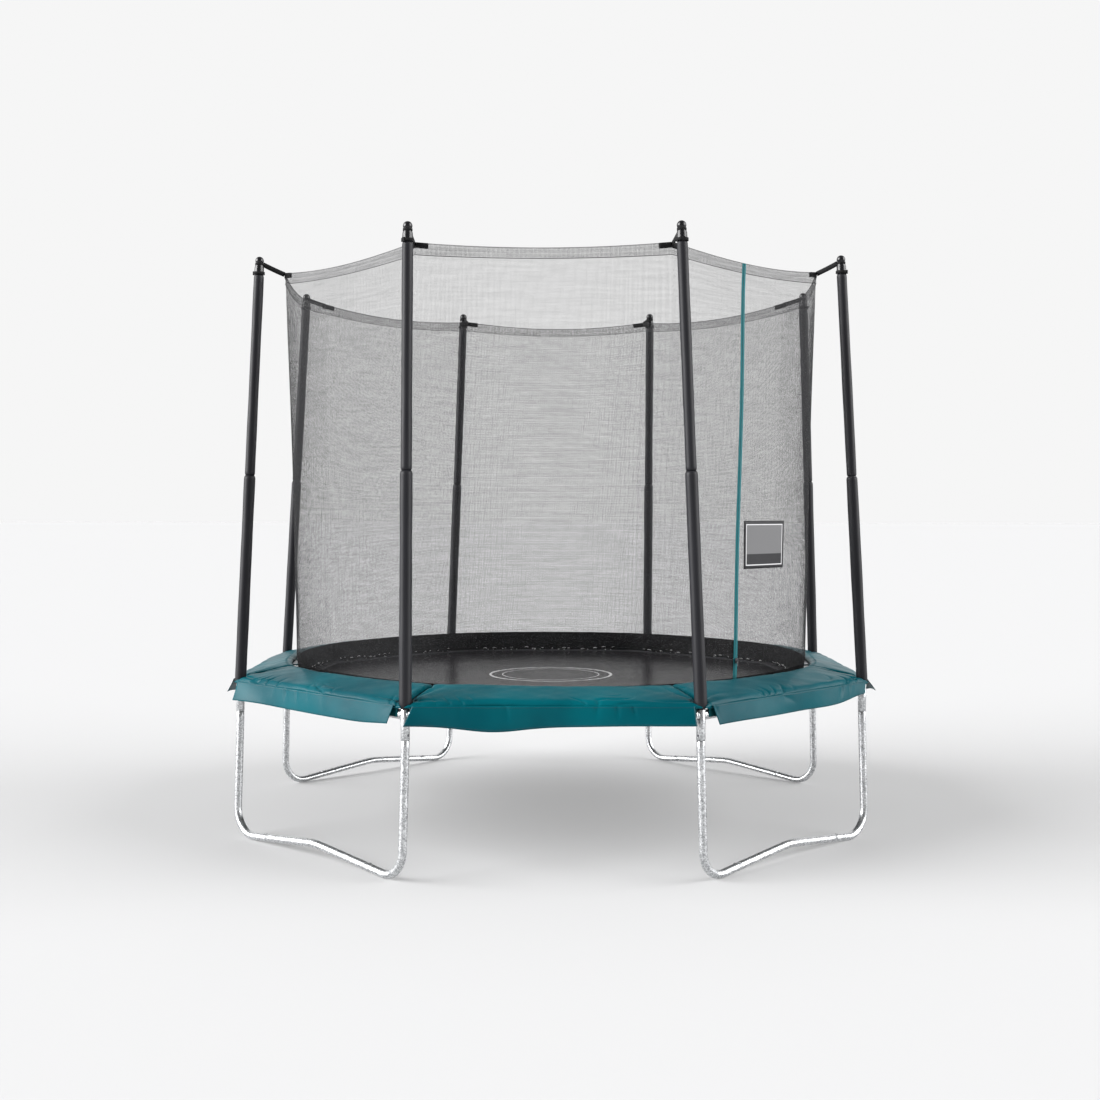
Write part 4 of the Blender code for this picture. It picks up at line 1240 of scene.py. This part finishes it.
inside, deeper = window(0.013), window(0.017)
field = deeper * (upward.above(0.060, 0.062)) * (0.16 + 0.10 * grain)
patch_paint.shades(inside - deeper + field, (0.012, 0.012, 0.014), (0.55, 0.55, 0.56))
patch_paint.bump(grain, 0.4, 0.0006)
t = np.linspace(0, 1, 30)
patch_angle = (PATCH_FROM + (PATCH_TO - PATCH_FROM) * t)[None, :]
patch_height = np.linspace(PATCH_LOW, PATCH_HIGH, 20)[:, None]
patch_points = net_point(patch_angle, patch_height, 0.0034, 0.0)
patch_uv = np.stack(np.broadcast_arrays(PATCH_WIDE * t[None, :], patch_height - PATCH_LOW), -1)
patch = make_piece("net_patch", [shell(patch_points)], patch_paint.material, outward=False, uv=patch_uv)
solidify(patch, 0.0014, 0.0)
put(patch, "frame", "patch_cloth", "label_patch")
inset = 0.006
rim_t = np.linspace(0.02, 0.98, 30)
rim_angle = PATCH_FROM + (PATCH_TO - PATCH_FROM) * np.concatenate([rim_t, np.full(20, 0.98), rim_t[::-1],
                                                                   np.full(20, 0.02)])
rim_low, rim_high = PATCH_LOW + inset, PATCH_HIGH - inset
rim_height = np.concatenate([np.full(30, rim_low), np.linspace(rim_low, rim_high, 20),
                             np.full(30, rim_high), np.linspace(rim_high, rim_low, 20)])
rim = net_point(rim_angle, rim_height, 0.0044, 0.0)
put(make_piece("net_patch_stitching", stitches(rim, *FINE_STITCH), thread.material),
    "frame", "patch_cloth")

# ------------------------------------------------------------------ studio
# A pale floor that runs out to an even pale surround, a broad soft key from the left and
# front, and a weak broad fill from the right. The floor glows a little, so shadows stay pale,
# and it glows less near the trampoline: a painted shadow under it.
bpy.context.scene.view_settings.view_transform = "Standard"
floor_paint = Paint("studio_floor", (0.326, 0.326, 0.329), 0.9)
spot = floor_paint.place()
painted_shadow_distance = floor_paint.add("ShaderNodeVectorMath", {"operation": "LENGTH"},
                       {0: floor_paint.scaled(spot, (1.0, 1.15, 1.0))}, 1)
# Painted shadow: the glow is 0.85 of full within 0.6 m of the middle and rises to full by 3 m.
floor_paint.set("Emission Color", floor_paint.mix(painted_shadow_distance.above(0.6, 3.0), (0.85, 0.85, 0.85),
                                                  (1.0, 1.0, 1.0)))
floor_paint.set("Emission Strength", 0.25)
floor_paint.set("Specular IOR Level", 0.0)
floor_x, floor_y = np.meshgrid(np.linspace(-400, 400, 9), np.linspace(-30, 900, 9))
floor_points = np.stack([floor_x, floor_y, 0 * floor_x], -1)
floor = make_piece("studio_floor", [shell(floor_points)], floor_paint.material, outward=False)

world = bpy.data.worlds.new("surround")
world.use_nodes = True
sky = world.node_tree
seen = sky.nodes.new("ShaderNodeTexCoord")
parts = sky.nodes.new("ShaderNodeSeparateXYZ")
fade = sky.nodes.new("ShaderNodeMapRange")
for socket, value in zip((1, 2, 3, 4), (0.0, 0.80, 0.16, 0.921)):
    fade.inputs[socket].default_value = value
sky.links.new(seen.outputs["Generated"], parts.inputs[0])
sky.links.new(parts.outputs[1], fade.inputs[0])
sky.links.new(fade.outputs[0], sky.nodes["Background"].inputs["Strength"])
sky.nodes["Background"].inputs["Color"].default_value = (1.0, 1.0, 1.0, 1.0)
bpy.context.scene.world = world


def soft_light(name, toward, spread, strength):
    """A broad far light that shines from the given direction."""
    data = bpy.data.lights.new(name, "SUN")
    data.angle = math.radians(spread)
    data.energy = strength
    lamp = bpy.data.objects.new(name, data)
    bpy.context.scene.collection.objects.link(lamp)
    back_axis = unit(np.asarray(toward, float))
    right = unit(np.cross(UP, back_axis))
    up = np.cross(back_axis, right)
    lamp.matrix_world = Matrix(np.stack([right, up, back_axis], 1).tolist()).to_4x4()


soft_light("key_left", (-5.8, -1.2, 2.1), 52.0, 9.8)
soft_light("fill_right", (5.6, -0.9, 2.3), 54.0, 5.6)
